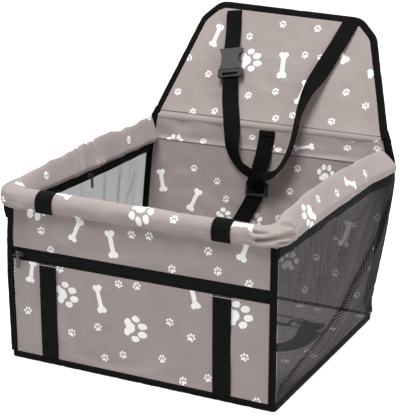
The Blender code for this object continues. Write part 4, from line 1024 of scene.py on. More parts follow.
def tape_section(width, thick):
    """Edge tape folded round an edge: a rounded fold on the outer side, lying flat on both faces."""
    half, deep = width / 2, thick / 2
    fold = deep * tape_fold
    face = []
    for x in np.linspace(half - fold, fold - half, 9):
        face.append((x, deep * (tape_flat + tape_crown * math.cos(math.pi * x / width))))
    for angle in np.radians((25, 50, 75, 105, 130, 155)):
        face.append((-half + fold * (1 - math.sin(angle)), deep * tape_flat * math.cos(angle)))
    return face + [(-x, -y) for x, y in face]


def corner_line(half_x, half_y, radius, z):
    """A rectangle with rounded corners, as points with the outward direction at each."""
    points, outs = [], []
    for turn, sx, sy in ((0, 1, 1), (90, -1, 1), (180, -1, -1), (270, 1, -1)):
        for a in np.radians(np.linspace(turn, turn + 90, 7)):
            out = np.array((math.cos(a), math.sin(a), 0))
            points.append(np.array((sx * (half_x - radius), sy * (half_y - radius), z)) + out * radius)
            outs.append(out)
    return points, outs


foot_high, foot_thick, foot_corner = 0.0098, 0.0038, 0.0035
foot_sides = (half_wide - foot_thick / 2, half_deep - foot_thick / 2)
foot_points, foot_outs = corner_line(*foot_sides, foot_corner, foot_high / 2 + 0.0001)
foot_across = tape_section(foot_high, foot_thick)
foot_tape = swept("foot_tape", foot_points, foot_outs, foot_across, tape_look, closed=True)
uneven(foot_tape, 0.00035, 0.012, 5, inwards=True)
dressed(foot_tape, "binding", "base_binding", body="base")
row_height, row_out = 0.0078, 0.0001
for side, sign in (("front", -1), ("back", 1)):
    points = [(x, sign * (half_deep + row_out), row_height) for x in (-0.196, 0.196)]
    stitched("foot_stitches_" + side, [points], black_thread, "base", "binding", (0, sign, 0))
for side, sign in (("left", -1), ("right", 1)):
    points = [(sign * (half_wide + row_out), y, row_height) for y in (-0.176, 0.176)]
    stitched("foot_stitches_" + side, [points], black_thread, "base", "binding", (sign, 0, 0))


# The front wall: the printed pocket below a black zip, the printed strip above it, a lining behind both,
# and black edge tape down the two corners. The cloth is sewn slightly loose, so it swells between the seams.
panel_half, strip_foot, most_swell = 0.1897, 0.1632, 0.0030


def front_face(x, z):
    """How far the front cloth stands out at a place on it: soft swells between the straps and seams."""
    points = np.stack([x, 0 * x, z], -1)
    from_sides = np.clip((panel_half - np.abs(x)) / 0.03, 0, 1)
    in_pocket = np.clip((z - wall_foot) / 0.025, 0, 1) * np.clip((pocket_top - z) / 0.02, 0, 1)
    in_strip = np.clip((z - strip_foot) / 0.015, 0, 1) * np.clip((wall_top - z) / 0.012, 0, 1)
    swell = 0.0022 * ripple(points, 0.11, 21) + 0.0010 * ripple(points * (1, 1, 0.45), 0.045, 22)
    return np.minimum(swell, most_swell) * (in_pocket + in_strip) * from_sides


cloth_scale, cloth_frames = 10, 24


def settled(points, held, longer, most, bend=0.6, fall=0.3, wrapped=False):
    """How far each point moves when the cloth is let go, held at its seams and cut longer than its place.

    The simulation is ten times as large as the seat, as its settings are meant for things of that size.
    """
    columns = points.shape[1] + (1 if wrapped else 0)
    mesh = surface_mesh("loose_cloth", points * cloth_scale, np.zeros((len(points), columns, 2)), wrapped)
    cloth = placed("loose_cloth", mesh)
    for label, shares in (("sewn", held), ("longer", longer / longer.max())):
        group = cloth.vertex_groups.new(name=label)
        levels = np.round(shares.ravel(), 2)
        for level in np.unique(levels[levels > 0]):
            group.add(np.flatnonzero(levels == level).tolist(), float(level), "REPLACE")
    let_go = cloth.modifiers.new("let_go", "CLOTH")
    let_go.collision_settings.use_collision = False
    let_go.point_cache.frame_end = cloth_frames
    cut = let_go.settings
    cut.quality = 5
    cut.mass = 0.3
    cut.tension_stiffness = cut.compression_stiffness = 20
    cut.shear_stiffness = 8
    cut.bending_stiffness = bend
    cut.air_damping = 2
    cut.vertex_group_mass = "sewn"
    cut.vertex_group_shrink = "longer"
    cut.shrink_max = -float(longer.max())
    cut.effector_weights.gravity = fall
    for frame_number in range(1, cloth_frames + 1):
        bpy.context.scene.frame_set(frame_number)
    shaped = cloth.evaluated_get(bpy.context.evaluated_depsgraph_get()).data
    after = np.zeros(len(shaped.vertices) * 3)
    shaped.vertices.foreach_get("co", after)
    bpy.data.objects.remove(cloth)
    bpy.context.scene.frame_set(1)
    moved = after.reshape(points.shape) / cloth_scale - points
    reach = np.linalg.norm(moved, axis=-1, keepdims=True)
    return moved * np.minimum(1, most / np.maximum(reach, 1e-9)) * (1 - held[..., None])


def front_cloth(name, low, high, paws, bones, sewn_at=()):
    """A panel of the front, sewn down along its edges and under the straps."""
    x, z = grid((-panel_half, low), (panel_half, high), 0.0034)
    outer = np.stack([x, front_y - front_face(x, z), z], -1)
    from_edge = np.minimum(np.minimum(z - low, high - z), panel_half - np.abs(x))
    held = np.where(from_edge < 0.0035, 1.0, 0.0)
    for strap_x in sewn_at:
        held = np.where(np.abs(x - strap_x) < strap_width / 2 + 0.001, 1.0, held)
    outer = outer + settled(outer, held, 0.016 + 0 * x, 0.0028)
    inner = outer + (0, 0.0014, 0)
    return printed(slab(name, outer, inner, np.stack([x, z], -1), canvas), paws, bones)


def small_paws(spots, seed):
    dice = np.random.default_rng(seed)
    return [(*spot, dice.uniform(-35, 35), paw_small) for spot in spots]


pocket_bones = [(-0.163, 0.1304, -14, 0.034), (-0.0549, 0.1100, 13, 0.039), (0.0838, 0.1393, 15, 0.038)]
pocket_paws = [(-0.1062, 0.1072, -82, paw_large), (-0.0009, 0.0773, -96, paw_large)]
pocket_paws += [(0.1491, 0.1242, -74, paw_large)]
pocket_paws += small_paws(
    (
        (-0.1161, 0.1425), (-0.0252, 0.1361), (0.0018, 0.1378), (-0.1706, 0.0728), (-0.0590, 0.0695),
        (-0.1004, 0.0533), (0.0499, 0.0963), (0.0817, 0.0814), (-0.0213, 0.0364), (-0.0494, 0.0267),
        (0.0376, 0.0422), (0.0683, 0.0172), (0.1047, 0.0288), (0.1567, 0.0682), (0.1740, 0.0111),
    ),
    31,
)
strap_xs = strap_places.values()
pocket_cloth = front_cloth("pocket_cloth", wall_foot, pocket_top, pocket_paws, pocket_bones, strap_xs)
dressed(pocket_cloth, "canvas", "pocket_panel", body="base")
crumples(pocket_cloth)

strip_bones = [(-0.0883, 0.2010, -25, 0.036), (-0.0356, 0.1889, 9, 0.038), (0.1559, 0.2127, -20, 0.038)]
strip_paws = [(-0.1520, 0.2215, 165, paw_large)]
strip_paws += small_paws(
    (
        (-0.1441, 0.1918), (-0.1293, 0.1673), (-0.0058, 0.2063), (0.0207, 0.2088), (0.1046, 0.2013),
        (0.0535, 0.1694), (0.1186, 0.1771), (0.1613, 0.1668),
    ),
    32,
)
upper_cloth = front_cloth("upper_cloth", strip_foot, wall_top, strip_paws, strip_bones)
dressed(upper_cloth, "canvas", "front_upper_panel", body="base")
crumples(upper_cloth)

lining_low, lining_bend, lining_meets = 0.0063, 0.1616, 0.1752
lining_back, lining_step = -0.1724, 0.0057
x, run = grid((-panel_half, 0), (panel_half, wall_top - lining_low), 0.006)
z = lining_low + run
slant = np.clip((z - lining_bend) / (lining_meets - lining_bend), 0, 1)
lining_y = lining_back - lining_step * slant
inner = np.stack([x, lining_y, z], -1)
outer = np.stack([x, lining_y - 0.0010, z], -1)
keep = z[:, 0] <= lining_meets
lining = slab("lining_cloth", inner[keep], outer[keep], np.stack([x, z], -1)[keep], canvas)
printed(lining, *scatter((-0.19, 0.0), (0.19, 0.18), 6))
dressed(lining, "canvas", "front_lining", body="base")
crumples(lining)


def tucked_in(points):
    """The left front corner is drawn in under the rim and stands out a little below."""
    x, y, z = points[..., 0], points[..., 1], points[..., 2]
    share = np.clip((-x - 0.160) / 0.030, 0, 1) * np.clip((-0.120 - y) / 0.050, 0, 1)
    inwards = np.interp(z, (0.0, 0.120, 0.170, wall_top), (0.0, -0.0016, -0.0004, 0.0036))
    return points + np.stack([share * inwards, 0 * y, 0 * z], -1)


corner_x, corner_y, corner_wide, corner_thick = 0.195, -0.1791, 0.0098, 0.0048
for side, sign in (("left", -1), ("right", 1)):
    rises = np.linspace(wall_foot, wall_top, 30)
    bow = ripple(np.stack([0 * rises, 0 * rises, rises], -1), 0.08, 40 + sign) * 0.0006
    corner_points = tucked_in(np.stack([sign * corner_x + 0 * rises, corner_y - np.abs(bow), rises], -1))
    corner_section = tape_section(corner_wide, corner_thick)
    corner_outs = [frontwards] * len(rises)
    corner_tape = swept("front_tape_" + side, corner_points, corner_outs, corner_section, tape_look)
    uneven(corner_tape, 0.0003, 0.010, 50 + sign, inwards=True)
    crumples(dressed(corner_tape, "binding", "front_binding_" + side, body="base"))
    if side == "left":
        tab_points = [
            (-0.1985, -0.1790, 0.2195),
            (-0.1982, -0.1792, 0.2150),
            (-0.1965, -0.1794, 0.2085),
            (-0.1948, -0.1794, 0.2040),
        ]
        tab_section = tape_section(corner_wide, 0.0050)
        tab_outs = [frontwards] * len(tab_points)
        corner_tab = swept("front_tape_end", tab_points, tab_outs, tab_section, tape_look)
        crumples(dressed(corner_tab, "binding", body="base"))
    row = [tucked_in(np.array([(sign * 0.1915, -0.1817, z) for z in np.linspace(0.014, 0.2150, 20)]))]
    crumples(stitched("front_tape_stitches_" + side, row, black_thread, "base", "binding"))


# The pocket's zip: a black nylon coil on two woven tapes, sewn between the pocket and the strip above it.
# The cord of each coil shows as a row of small beads.
zip_dark, zip_light = (0.0025, 0.0025, 0.0027), (0.012, 0.012, 0.0125)
zip_tape_look = black_cloth("black_zip_tape", zip_dark, zip_light, 0.0005, 0.0012, 0.70, 0.5)
coil_half, zip_tape_thick, coil_rows, coil_lift = 0.0010, 0.0009, (0.0008, 0.0024), 0.0006


def zip_band(name, ends, across, out, body, wide=0.0178, flattens=False):
    """Two tapes with a sewn coil between them, along a straight line from end to end."""
    ends, across = np.array(ends), np.array(across)
    on_top = np.array(out) * coil_lift
    lines = []
    for side, sign in (("low", -1), ("high", 1)):
        tape_points = ends + across * sign * (coil_half + wide / 2) / 2
        tape_across = strap_section(wide / 2 - coil_half, zip_tape_thick, 6)
        outs = [out, out]
        tape = swept(name + "_tape_" + side, tape_points, outs, tape_across, zip_tape_look, spacing=0.006)
        dressed(tape, "binding", body=body)
        if flattens:
            narrows(tape)
        lines += [ends + across * sign * offset + on_top for offset in coil_rows]
    coil = stitched(name + "_coil", lines, coil_bead, body, "binding", out, 0.0016, 0.0013, 0.0021)
    if flattens:
        narrows(coil)
    return coil


coil_bead = thread_material("coil_nylon", (0.009, 0.009, 0.0095))
zip_half = 0.1895
zip_ends = [(x, front_y + 0.0006, zip_height) for x in (-zip_half, zip_half)]
zip_teeth = zip_band("pocket_zip", zip_ends, (0, 0, 1), (0, -1, 0), "pocket_zip", flattens=True)
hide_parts("pocket_zip_tape")


# The side walls: slack black net, caught by the foot tape, the corner tapes and a tape along its top. The
# net hangs in slanting creases because the rim holds its top edge shorter than it was cut.
row_share, edge_sharpness, hole_radius = 0.8660, 16.0, 0.215


def mesh_net(name, thread, pitch):
    """Hexagon net as threads round rows of holes, seen through everywhere else."""
    made = new_material(name)
    tree = made.node_tree
    place = flat_place(tree)
    split = node(tree, "ShaderNodeSeparateXYZ")
    link(tree, place, split.inputs[0])
    rows = maths(tree, "DIVIDE", split.outputs[1], pitch * row_share)
    row = maths(tree, "FLOOR", rows)
    shift = maths(tree, "MULTIPLY", maths(tree, "PINGPONG", row, 1.0), 0.5)
    columns = maths(tree, "ADD", maths(tree, "DIVIDE", split.outputs[0], pitch), shift)
    u = maths(tree, "SUBTRACT", maths(tree, "FRACT", columns), 0.5)
    v = maths(tree, "MULTIPLY", maths(tree, "SUBTRACT", maths(tree, "FRACT", rows), 0.5), row_share)
    away = node(tree, "ShaderNodeVectorMath", operation="LENGTH")
    both = node(tree, "ShaderNodeCombineXYZ")
    link(tree, u, both.inputs[0])
    link(tree, v, both.inputs[1])
    link(tree, both.outputs[0], away.inputs[0])
    fold = node(tree, "ShaderNodeAttribute", attribute_name="fold").outputs["Fac"]
    from_middle = away.outputs["Value"]
    edge_start = -edge_sharpness * hole_radius
    threads = maths(tree, "MULTIPLY_ADD", from_middle, edge_sharpness, edge_start, clamp=True)
    dust = use_group(tree, mottle, {"Vector": own_place(tree)}, Size=0.04, Detail=4.0)["Value"]
    shade = colour_between(tree, dust, [value * 0.7 for value in thread], [value * 1.4 for value in thread])
    shader = surface(tree, shade, relief(tree, from_middle, 0.5, 0.0003), 0.08, Roughness=0.60)
    link(tree, maths(tree, "MAXIMUM", threads, fold), shader.inputs["Alpha"])
    return made


net_look = mesh_net("black_net", (0.0065, 0.0065, 0.007), 0.0030)
net_top, net_front = 0.2084, -0.1763
rear_gap = 0.00105 / math.cos(lean)


def back_edge_y(z):
    return back_foot[1] + (z - back_foot[2]) * math.tan(lean) - rear_gap


bulge_heights = (0.000, 0.010, 0.029, 0.082, 0.127, 0.179, 0.201, 0.229, 0.258, 0.275)
bulge_widths = (0.0030, 0.0020, -0.0010, 0.0045, 0.0090, 0.0120, 0.0130, 0.0115, 0.0025, 0.0)


def drawn_out(points):
    """The cloth near the rear corners stands out in a bow, most at the right one, where the rim pulls it."""
    x, y, z = points[..., 0], points[..., 1], points[..., 2]
    wall_y = back_foot[1] + (z - back_foot[2]) * math.tan(lean)
    at_side = np.clip((np.abs(x) - 0.130) / 0.055, 0, 1)
    at_back = np.clip((y - wall_y + 0.085) / 0.080, 0, 1)
    share = (at_side**2 * (3 - 2 * at_side)) * (at_back**2 * (3 - 2 * at_back)) * np.where(x > 0, 1.0, 0.35)
    bow = np.interp(z, bulge_heights, bulge_widths) * share
    return points + np.stack([np.sign(x) * bow, 0.35 * bow, 0 * bow], -1)


def off_route(place, route):
    """How far each place is from a route of straight steps, and the same with a minus to the right of it."""
    nearest = signed = np.full(place.shape[:-1], 9.0)
    for start, end in zip(route, route[1:]):
        way = end - start
        share = np.clip(((place - start) @ way) / (way @ way), 0, 1)
        off = place - start - share[..., None] * way
        away = np.linalg.norm(off, axis=-1)
        above = np.sign(way[0] * off[..., 1] - way[1] * off[..., 0])
        signed = np.where(away < nearest, away * above, signed)
        nearest = np.minimum(away, nearest)
    return nearest, signed


# Each crease of a net: how deep it is, and its way as shares of the net's length and height.
net_size = (0.37, 0.198)
right_creases = (
    (
        0.0085,
        ((0.02, 0.05), (0.19, 0.11), (0.45, 0.15), (0.68, 0.24), (0.84, 0.41), (0.93, 0.60), (0.985, 0.92)),
    ),
    (0.0045, ((0.88, 0.98), (0.77, 0.88), (0.61, 0.66), (0.41, 0.59), (0.26, 0.57))),
    (0.0035, ((0.50, 0.97), (0.46, 0.85), (0.43, 0.69), (0.39, 0.55), (0.36, 0.40))),
    (0.0035, ((0.72, 0.97), (0.68, 0.82), (0.62, 0.74), (0.59, 0.60))),
    (0.0030, ((0.28, 0.98), (0.23, 0.87), (0.16, 0.73), (0.13, 0.55))),
    (0.0020, ((0.060, 0.95), (0.055, 0.60), (0.050, 0.35))),
    (0.0018, ((0.105, 0.96), (0.095, 0.66), (0.085, 0.45))),
)
left_creases = (
    (0.0045, ((0.05, 0.10), (0.25, 0.20), (0.50, 0.30), (0.72, 0.45), (0.88, 0.80))),
    (0.0035, ((0.655, 0.98), (0.650, 0.80), (0.640, 0.60), (0.620, 0.45))),
    (0.0040, ((0.775, 0.98), (0.760, 0.80), (0.745, 0.55), (0.735, 0.35))),
    (0.0025, ((0.860, 0.95), (0.845, 0.75), (0.830, 0.50))),
    (0.0025, ((0.480, 0.97), (0.500, 0.80), (0.510, 0.62))),
    (0.0020, ((0.930, 0.85), (0.900, 0.60), (0.890, 0.40))),
)


gentle_side, steep_side, most_fall = 0.016, 0.0035, 0.016
doubled_half, doubled_shift = 0.0022, 0.0008


def net_fall(along, up, creases):
    """How far the net sinks inwards, in creases steep on one side, and how doubled it lies in them."""
    fall = 0.0045 * np.sin(math.pi * along) * np.sin(math.pi * up)
    doubled = 0 * along
    for depth, route in creases:
        place = np.stack([along * net_size[0], up * net_size[1]], -1)
        off = off_route(place, np.array(route) * net_size)[1]
        crease = np.exp(np.where(off > 0, -off / gentle_side, off / steep_side))
        fall = fall + depth * crease
        in_crease = np.exp(-(((off + doubled_shift) / doubled_half) ** 2))
        doubled = np.maximum(doubled, min(1, depth * 120) * in_crease)
    off_ends = np.clip(np.minimum(along, 1 - along) / 0.08, 0, 1)
    off_seams = np.clip(np.minimum(up, 1 - up) / 0.06, 0, 1)
    return np.minimum(fall, most_fall) * (off_ends * off_seams), doubled


net_tape_x, net_tape_foot = 0.1985, 0.2035
for side, sign in (("left", -1), ("right", 1)):
    along, up = np.meshgrid(np.linspace(0, 1, 150), np.linspace(0, 1, 100))
    z = wall_foot + (net_top - wall_foot) * up
    y = net_front + (back_edge_y(z) + 0.0025 - net_front) * along
    fall, doubled = net_fall(along, up, left_creases if sign < 0 else right_creases)
    points = np.stack([sign * (half_wide - 0.0005 - fall), y, z], -1)
    held = np.where(np.minimum(np.minimum(along, 1 - along), np.minimum(up, 1 - up)) < 0.012, 1.0, 0.0)
    points = tucked_in(drawn_out(points + settled(points, held, 0.030 + 0 * z, 0.0030, 0.3)))
    net = placed("net_" + side, surface_mesh("net_" + side, points, np.stack([y, z], -1)), net_look)
    fold_values = (doubled * 0.80).ravel().astype(np.float32)
    net.data.attributes.new("fold", "FLOAT", "POINT").data.foreach_set("value", fold_values)
    dressed(net, "mesh", "side_mesh_" + side, body="base")
    crumples(net)
    tape_z = (net_tape_foot + wall_top) / 2
    ends = [(sign * net_tape_x, y, tape_z) for y in (net_front + 0.0005, back_edge_y(tape_z))]
    line_points = tucked_in(drawn_out(np.linspace(ends[0], ends[1], 40)))
    waves = ripple(line_points, 0.09, 62 + sign)
    line_points[:, 0] += sign * 0.0012 * waves * np.sin(np.linspace(0, math.pi, 40))
    outs = [(sign, 0, 0)] * len(line_points)
    tape = swept("net_tape_" + side, line_points, outs, tape_section(0.0140, 0.0030), tape_look)
    uneven(tape, 0.0004, 0.010, 60 + sign, inwards=True)
    dressed(tape, "binding", "mesh_binding_" + side, body="rim")


# The back wall: a thin foam between two sheets of the canvas, quilted by the tapes at its sides and by the
# seam where the tunnel for the rim's rear pipe begins.
back_half, pad_thick = 0.1877, 0.006
pad_foot, pad_top = 0.001275, 0.2211


def sunk(front, held, way):
    """The front of a pad let go, where only what moves into the foam counts."""
    moved = settled(front, held, 0.012 + 0 * held, 0.0022, 1.0, 0.2)
    return front + np.maximum(moved @ way, 0)[..., None] * way


def pad_depth(x, rise, seed):
    """Soft hollows in the front of a pad, never above its seams."""
    points = np.stack([x, 0 * x, rise], -1)
    broad, narrow = ripple(points, 0.12, seed), ripple(points * (1, 1, 2.2), 0.05, seed + 1)
    return 0.0016 * np.clip(0.45 + 0.7 * broad + 0.35 * narrow, 0, 1.6)


def back_pad():
    x, rise = grid((-back_half, pad_foot), (back_half, pad_top), 0.005)
    inside = np.clip((back_half - np.abs(x)) / 0.02, 0, 1) * np.clip((pad_top - rise) / 0.02, 0, 1)
    inside = inside * np.clip((rise - pad_foot) / 0.02, 0, 1)
    front = on_back(x, rise, pad_depth(x, rise, 71) * inside)
    front = sunk(front, np.where(inside > 0.15, 0.0, 1.0), back_out)
    back = on_back(x, rise, pad_thick + 0.0012 * inside)
    places = np.stack([x, rise], -1)
    return slab("back_pad", drawn_out(front), drawn_out(back), places, canvas, places * (-1, 1) + (1.0, 0))


back_bones = [(-0.1683, 0.1543, 14, 0.036), (-0.1103, 0.1306, -22, 0.038)]
back_bones += [(0.1465, 0.1124, -10, 0.040), (0.1920, 0.0822, 3, 0.040)]
back_paws = [(0.1054, 0.2006, -6, paw_medium), (-0.0558, 0.1118, -78, paw_medium)]
back_paws += [(-0.0037, 0.1131, -47, paw_medium), (0.0602, 0.0595, -2, 0.034)]
back_paws += small_paws(
    (
        (-0.1163, 0.1810), (-0.0741, 0.1654), (-0.0557, 0.1392), (0.0596, 0.2015), (0.0503, 0.1650),
        (0.0366, 0.1214), (0.1035, 0.0703), (0.1369, 0.0517), (0.0918, 0.0184), (0.1833, 0.1431),
        (0.1761, 0.0245), (0.1338, 0.1045),
    ),
    33,
)
low_paws, low_bones = scatter((-0.19, 0.0), (0.03, 0.088), 7)
rear_paws, rear_bones = scatter((0.81, 0.0), (1.19, 0.22), 8)
back_piece = back_pad()
printed(back_piece, back_paws + low_paws + rear_paws, back_bones + low_bones + rear_bones)
dressed(back_piece, "canvas", "back_lining", "back_padding", "back_cover", body="base")
back_top_z = float(on_back(0.0, pad_top, 0.0)[2])
crumples(back_piece)

pad_tape_wide, pad_tape_thick, side_tape_x = 0.0118, 0.0073, 0.194


def side_tape(name, sign, low, high, steps, seed):
    """Wide tape folded over a side edge of the back, from one height up its slope to another."""
    rises = np.linspace(low, high, steps)
    line_points = drawn_out(on_back(sign * side_tape_x, rises, pad_thick / 2 + 0 * rises))
    tape_across = tape_section(pad_tape_wide, pad_tape_thick)
    tape = swept(name, line_points, [-back_out] * steps, tape_across, tape_look)
    uneven(tape, 0.0003, 0.010, seed + sign, inwards=True)
    return tape


for side, sign in (("left", -1), ("right", 1)):
    tape = side_tape("back_tape_" + side, sign, 0.0013, pad_top, 30, 80)
    crumples(dressed(tape, "binding", "back_binding_" + side, body="base"))
    tape = side_tape("tunnel_tape_" + side, sign, band_bottom, band_top, 12, 90)
    dressed(tape, "binding", "band_binding_" + side, body="rim")


# The tunnel across the back: one sheet of the canvas goes round the rear pipe and is sewn shut above and
# below it, so that it bulges behind and lies flat in front.
bulge_rise, bulge_half = (band_top + band_bottom) / 2, 0.012
tunnel_thick, bulge_depth = 0.0055, 0.016


def tunnel_back(rise):
    """How far the tunnel's rear face stands out behind the back's inner face."""
    high = np.clip(np.abs(rise - bulge_rise) / bulge_half, 0, 1)
    return tunnel_thick + bulge_depth * np.sqrt(1 - high**2)


x, rise = grid((-back_half, band_bottom), (back_half, band_top), 0.0024)
from_seams = np.clip(np.minimum(band_top - rise, rise - band_bottom) / 0.006, 0, 1)
low_edge = np.clip(1 - (rise - band_bottom) / 0.005, 0, 1)
high_edge = np.clip((band_top - rise) / 0.016, 0, 1)
hollows = np.clip(0.5 + ripple(np.stack([x, 0 * x, rise * 2], -1), 0.06, 75), 0, 1.5)
front_depth = 0.0010 * from_seams * high_edge * hollows
front = on_back(x, rise, 0.0005 + front_depth - 0.0016 * low_edge)
behind = on_back(x, rise, tunnel_back(rise) + 0.0006 * ripple(np.stack([x, 0 * x, rise], -1), 0.03, 76))
tunnel_rings = drawn_out(np.concatenate([front, behind[::-1], front[:1]]).transpose(1, 0, 2))
tunnel_girth = np.linspace(band_bottom, band_bottom + 0.110, tunnel_rings.shape[1])
tunnel_flat = np.stack(np.broadcast_arrays(x[0][:, None], tunnel_girth[None, :]), -1)
tunnel_mesh = surface_mesh("rear_tunnel", tunnel_rings, tunnel_flat)
turn_outwards(tunnel_mesh)
tunnel_mesh.set_sharp_from_angle(angle=math.radians(60))
tunnel = placed("rear_tunnel", tunnel_mesh, canvas)
tunnel_bones = [(0.0665, 0.2385, -74, 0.034)]
tunnel_paws = [(-0.1518, 0.2219, -3, paw_medium), (0.0182, 0.2210, -77, 0.036)]
tunnel_paws += small_paws(((-0.1033, 0.2270), (-0.0205, 0.2467), (0.1353, 0.2480), (0.1772, 0.2525)), 34)
rear_paws, rear_bones = scatter((-0.19, 0.27), (0.19, 0.31), 9)
printed(tunnel, tunnel_paws + rear_paws, tunnel_bones + rear_bones)
dressed(tunnel, "canvas", "band_sleeve", body="rim")


# The rim: one long sleeve of the canvas, sewn to the top of the front and side walls, with plastic pipe
# and elbows inside. The cloth is longer than the pipe, so it gathers in folds at the front corners, and
# at the left one it stands out as a soft ear.
corner_radius, rear_y = 0.022, 0.2125
front_half, corner_run = sleeve_x - corner_radius, corner_radius * math.pi / 2


def sleeve_centre(run):
    """The middle line seen from above: its place and outward way at a run from the front's middle."""
    sign, run = np.sign(run), np.abs(run)
    angle = np.clip((run - front_half) / corner_radius, 0, math.pi / 2)
    x = np.minimum(run, front_half) + corner_radius * np.sin(angle)
    y = sleeve_y + corner_radius * (1 - np.cos(angle)) + np.maximum(run - front_half - corner_run, 0)
    return sign * x, y, sign * np.sin(angle), -np.cos(angle)


# Each fold of the sleeve: its way as (run, degrees round the sleeve), how deep it is and how wide.
rim_folds = (
    (((0.166, 32), (0.180, 24)), 0.0022, 0.0020),
    (((0.174, -12), (0.186, 0), (0.198, 2), (0.208, -8)), 0.0046, 0.0024),
    (((0.190, -30), (0.199, -38), (0.209, -44)), 0.0044, 0.0022),
    (((0.166, -52), (0.186, -62), (0.202, -72)), 0.0020, 0.0022),
    (((0.196, 60), (0.205, 30), (0.213, 10)), 0.0026, 0.0022),
    (((-0.168, -66), (-0.182, -40), (-0.196, -20)), 0.0022, 0.0026),
    (((-0.385, 160), (-0.376, 100), (-0.372, 70)), 0.0026, 0.0030),
    (((-0.400, 165), (-0.394, 110), (-0.392, 75)), 0.0022, 0.0030),
    (((-0.345, 150), (-0.349, 100), (-0.350, 70)), 0.0018, 0.0030),
    (((0.292, 20), (0.302, 60), (0.306, 90)), 0.0014, 0.0030),
    (((0.470, 10), (0.474, 60), (0.476, 90)), 0.0014, 0.0030),
)
collar_runs = (0.0, 0.172, 0.190, 0.215, 0.290, 0.430, 0.580)
right_collar = (0.0, 0.0, 0.003, 0.009, 0.015, 0.0160, 0.0080)
left_collar = (0.0, 0.002, 0.007, 0.012, 0.0150, 0.0185, 0.0190)


fold_radius = 0.013


def sleeve_swell(run, angle):
    """How far the slack cloth stands off the pipe: soft swells, and folds across it near the corners."""
    place = np.stack([run, 0.016 * np.cos(angle), 0.016 * np.sin(angle)], -1)
    swell = 0.0006 * ripple(place, 0.06, 101) + 0.0004 * ripple(place, 0.024, 102)
    spread_out = np.stack([run, angle * fold_radius], -1)
    for route, depth, width in rim_folds:
        fold_way = np.array([(along, math.radians(turned) * fold_radius) for along, turned in route])
        nearest = off_route(spread_out, fold_way)[0]
        furrow = np.exp(-((nearest / width) ** 2))
        ridge = np.exp(-(((nearest - 2.2 * width) / width) ** 2))
        swell = swell - depth * furrow + 0.5 * depth * ridge
    return swell


def sleeve_points():
    """A grid of points over the sleeve: along its run, and round it from the seam over the top and back."""
    reach = front_half + corner_run + rear_y - (sleeve_y + corner_radius)
    runs = np.linspace(-reach, reach, round(2 * reach / 0.0024) + 1)
    turns = np.radians(np.linspace(-90, 270, 65)[:-1])
    run, angle = np.meshgrid(runs, turns, indexing="ij")
    under_loop = np.zeros_like(run)
    for x in strap_places.values():
        under_loop = np.maximum(under_loop, np.exp(-(((run - x) / 0.018) ** 4)))
    off_seam = np.clip((np.sin(angle) + 1) / 0.25, 0, 1)
    ear = np.exp(-(((run + front_half + corner_run / 2) / 0.017) ** 2))
    knuckle = np.exp(-(((run - front_half - corner_run / 2) / 0.020) ** 2))
    left_rise = np.interp(-run, collar_runs, left_collar)
    right_rise = np.interp(run, collar_runs, right_collar)
    collar_wave = ripple(np.stack([run, 0 * run, 0 * run], -1), 0.06, 103)
    collar = np.where(run < 0, left_rise, right_rise) * (1 + np.where(run < 0, 0.16, 0.06) * collar_wave)
    swell = sleeve_swell(run, angle) * (1 - under_loop) * off_seam
    wide = sleeve_width / 2 * (1 - 0.06 * ear) + swell
    high = sleeve_height / 2 + swell
    out, up = sleeve_point(angle, wide, high)
    high_share = np.clip(np.sin(angle), 0, 1)
    x, y, out_x, out_y = sleeve_centre(run)
    out = out * (1 - 0.45 * high_share * np.clip(collar / 0.015, 0, 1)) + 0.0030 * knuckle
    out = out + ear * (0.0125 + 0.0040 * high_share) * np.clip(0.05 + 1.3 * np.cos(angle), 0, 1)
    out = out - 0.30 * collar * high_share * np.where(run > 0, 1.0, 0.0)
    up = up + collar * high_share**1.5
    points = np.stack([x + out * out_x, y + out * out_y, sleeve_z + up], -1)
    loose = off_seam * (1 - under_loop)
    held = np.where((loose < 0.5) | (np.abs(run) > reach - 0.004), 1.0, 0.0)
    slack = np.where(run < -0.20, 0.030, 0.008)
    points = points + settled(points, held, slack, 0.0012, 0.6, 0.0, wrapped=True)
    outer_share = np.clip(np.cos(angle) * 0.5 + 0.5, 0, 1)[..., None]
    return points + (drawn_out(points) - points) * outer_share, run


rim_grid, rim_run = sleeve_points()
rim_rings = np.concatenate([rim_grid, rim_grid[:, :1]], 1)
steps_round = np.linalg.norm(np.diff(rim_rings, axis=1), axis=-1)
girth = np.concatenate([np.zeros((len(rim_grid), 1)), np.cumsum(steps_round, 1)], 1)
rim_flat = np.stack([np.broadcast_to(rim_run[:, :1], girth.shape), girth], -1)
rim_mesh = surface_mesh("rim_sleeve", rim_rings, rim_flat)
turn_outwards(rim_mesh)
rim_cloth = placed("rim_sleeve", rim_mesh, canvas)
rim_bones = [(-0.116, 0.0380, 82, 0.036), (0.1500, 0.0310, 92, 0.034), (0.4208, 0.0280, 62, 0.036)]
rim_paws = [(0.0114, 0.0255, 200, 0.037), (-0.1520, -0.0090, 165, 0.037), (0.2660, 0.0225, 100, 0.036)]
rim_paws += small_paws(
    (
        (-0.1872, 0.0255), (0.0587, 0.0247), (-0.0845, 0.0026), (0.4795, 0.0280), (0.3715, 0.0255),
        (0.3106, 0.0350), (-0.2560, 0.0600), (-0.4850, 0.0700), (-0.5620, 0.0580),
    ),
    36,
)
printed_spots = rim_paws + rim_bones
hidden_areas = (
    ((-0.56, 0.0), (-0.21, 0.038), 11),
    ((-0.18, 0.055), (0.18, 0.085), 13),
    ((0.21, 0.055), (0.56, 0.090), 14),
)
for low, high, seed in hidden_areas:
    more_paws, more_bones = scatter(low, high, seed, printed_spots)
    rim_paws, rim_bones = rim_paws + more_paws, rim_bones + more_bones
printed(rim_cloth, rim_paws, rim_bones)
dressed(rim_cloth, "canvas", "front_rim_sleeve", "left_rim_sleeve", "right_rim_sleeve", body="rim")

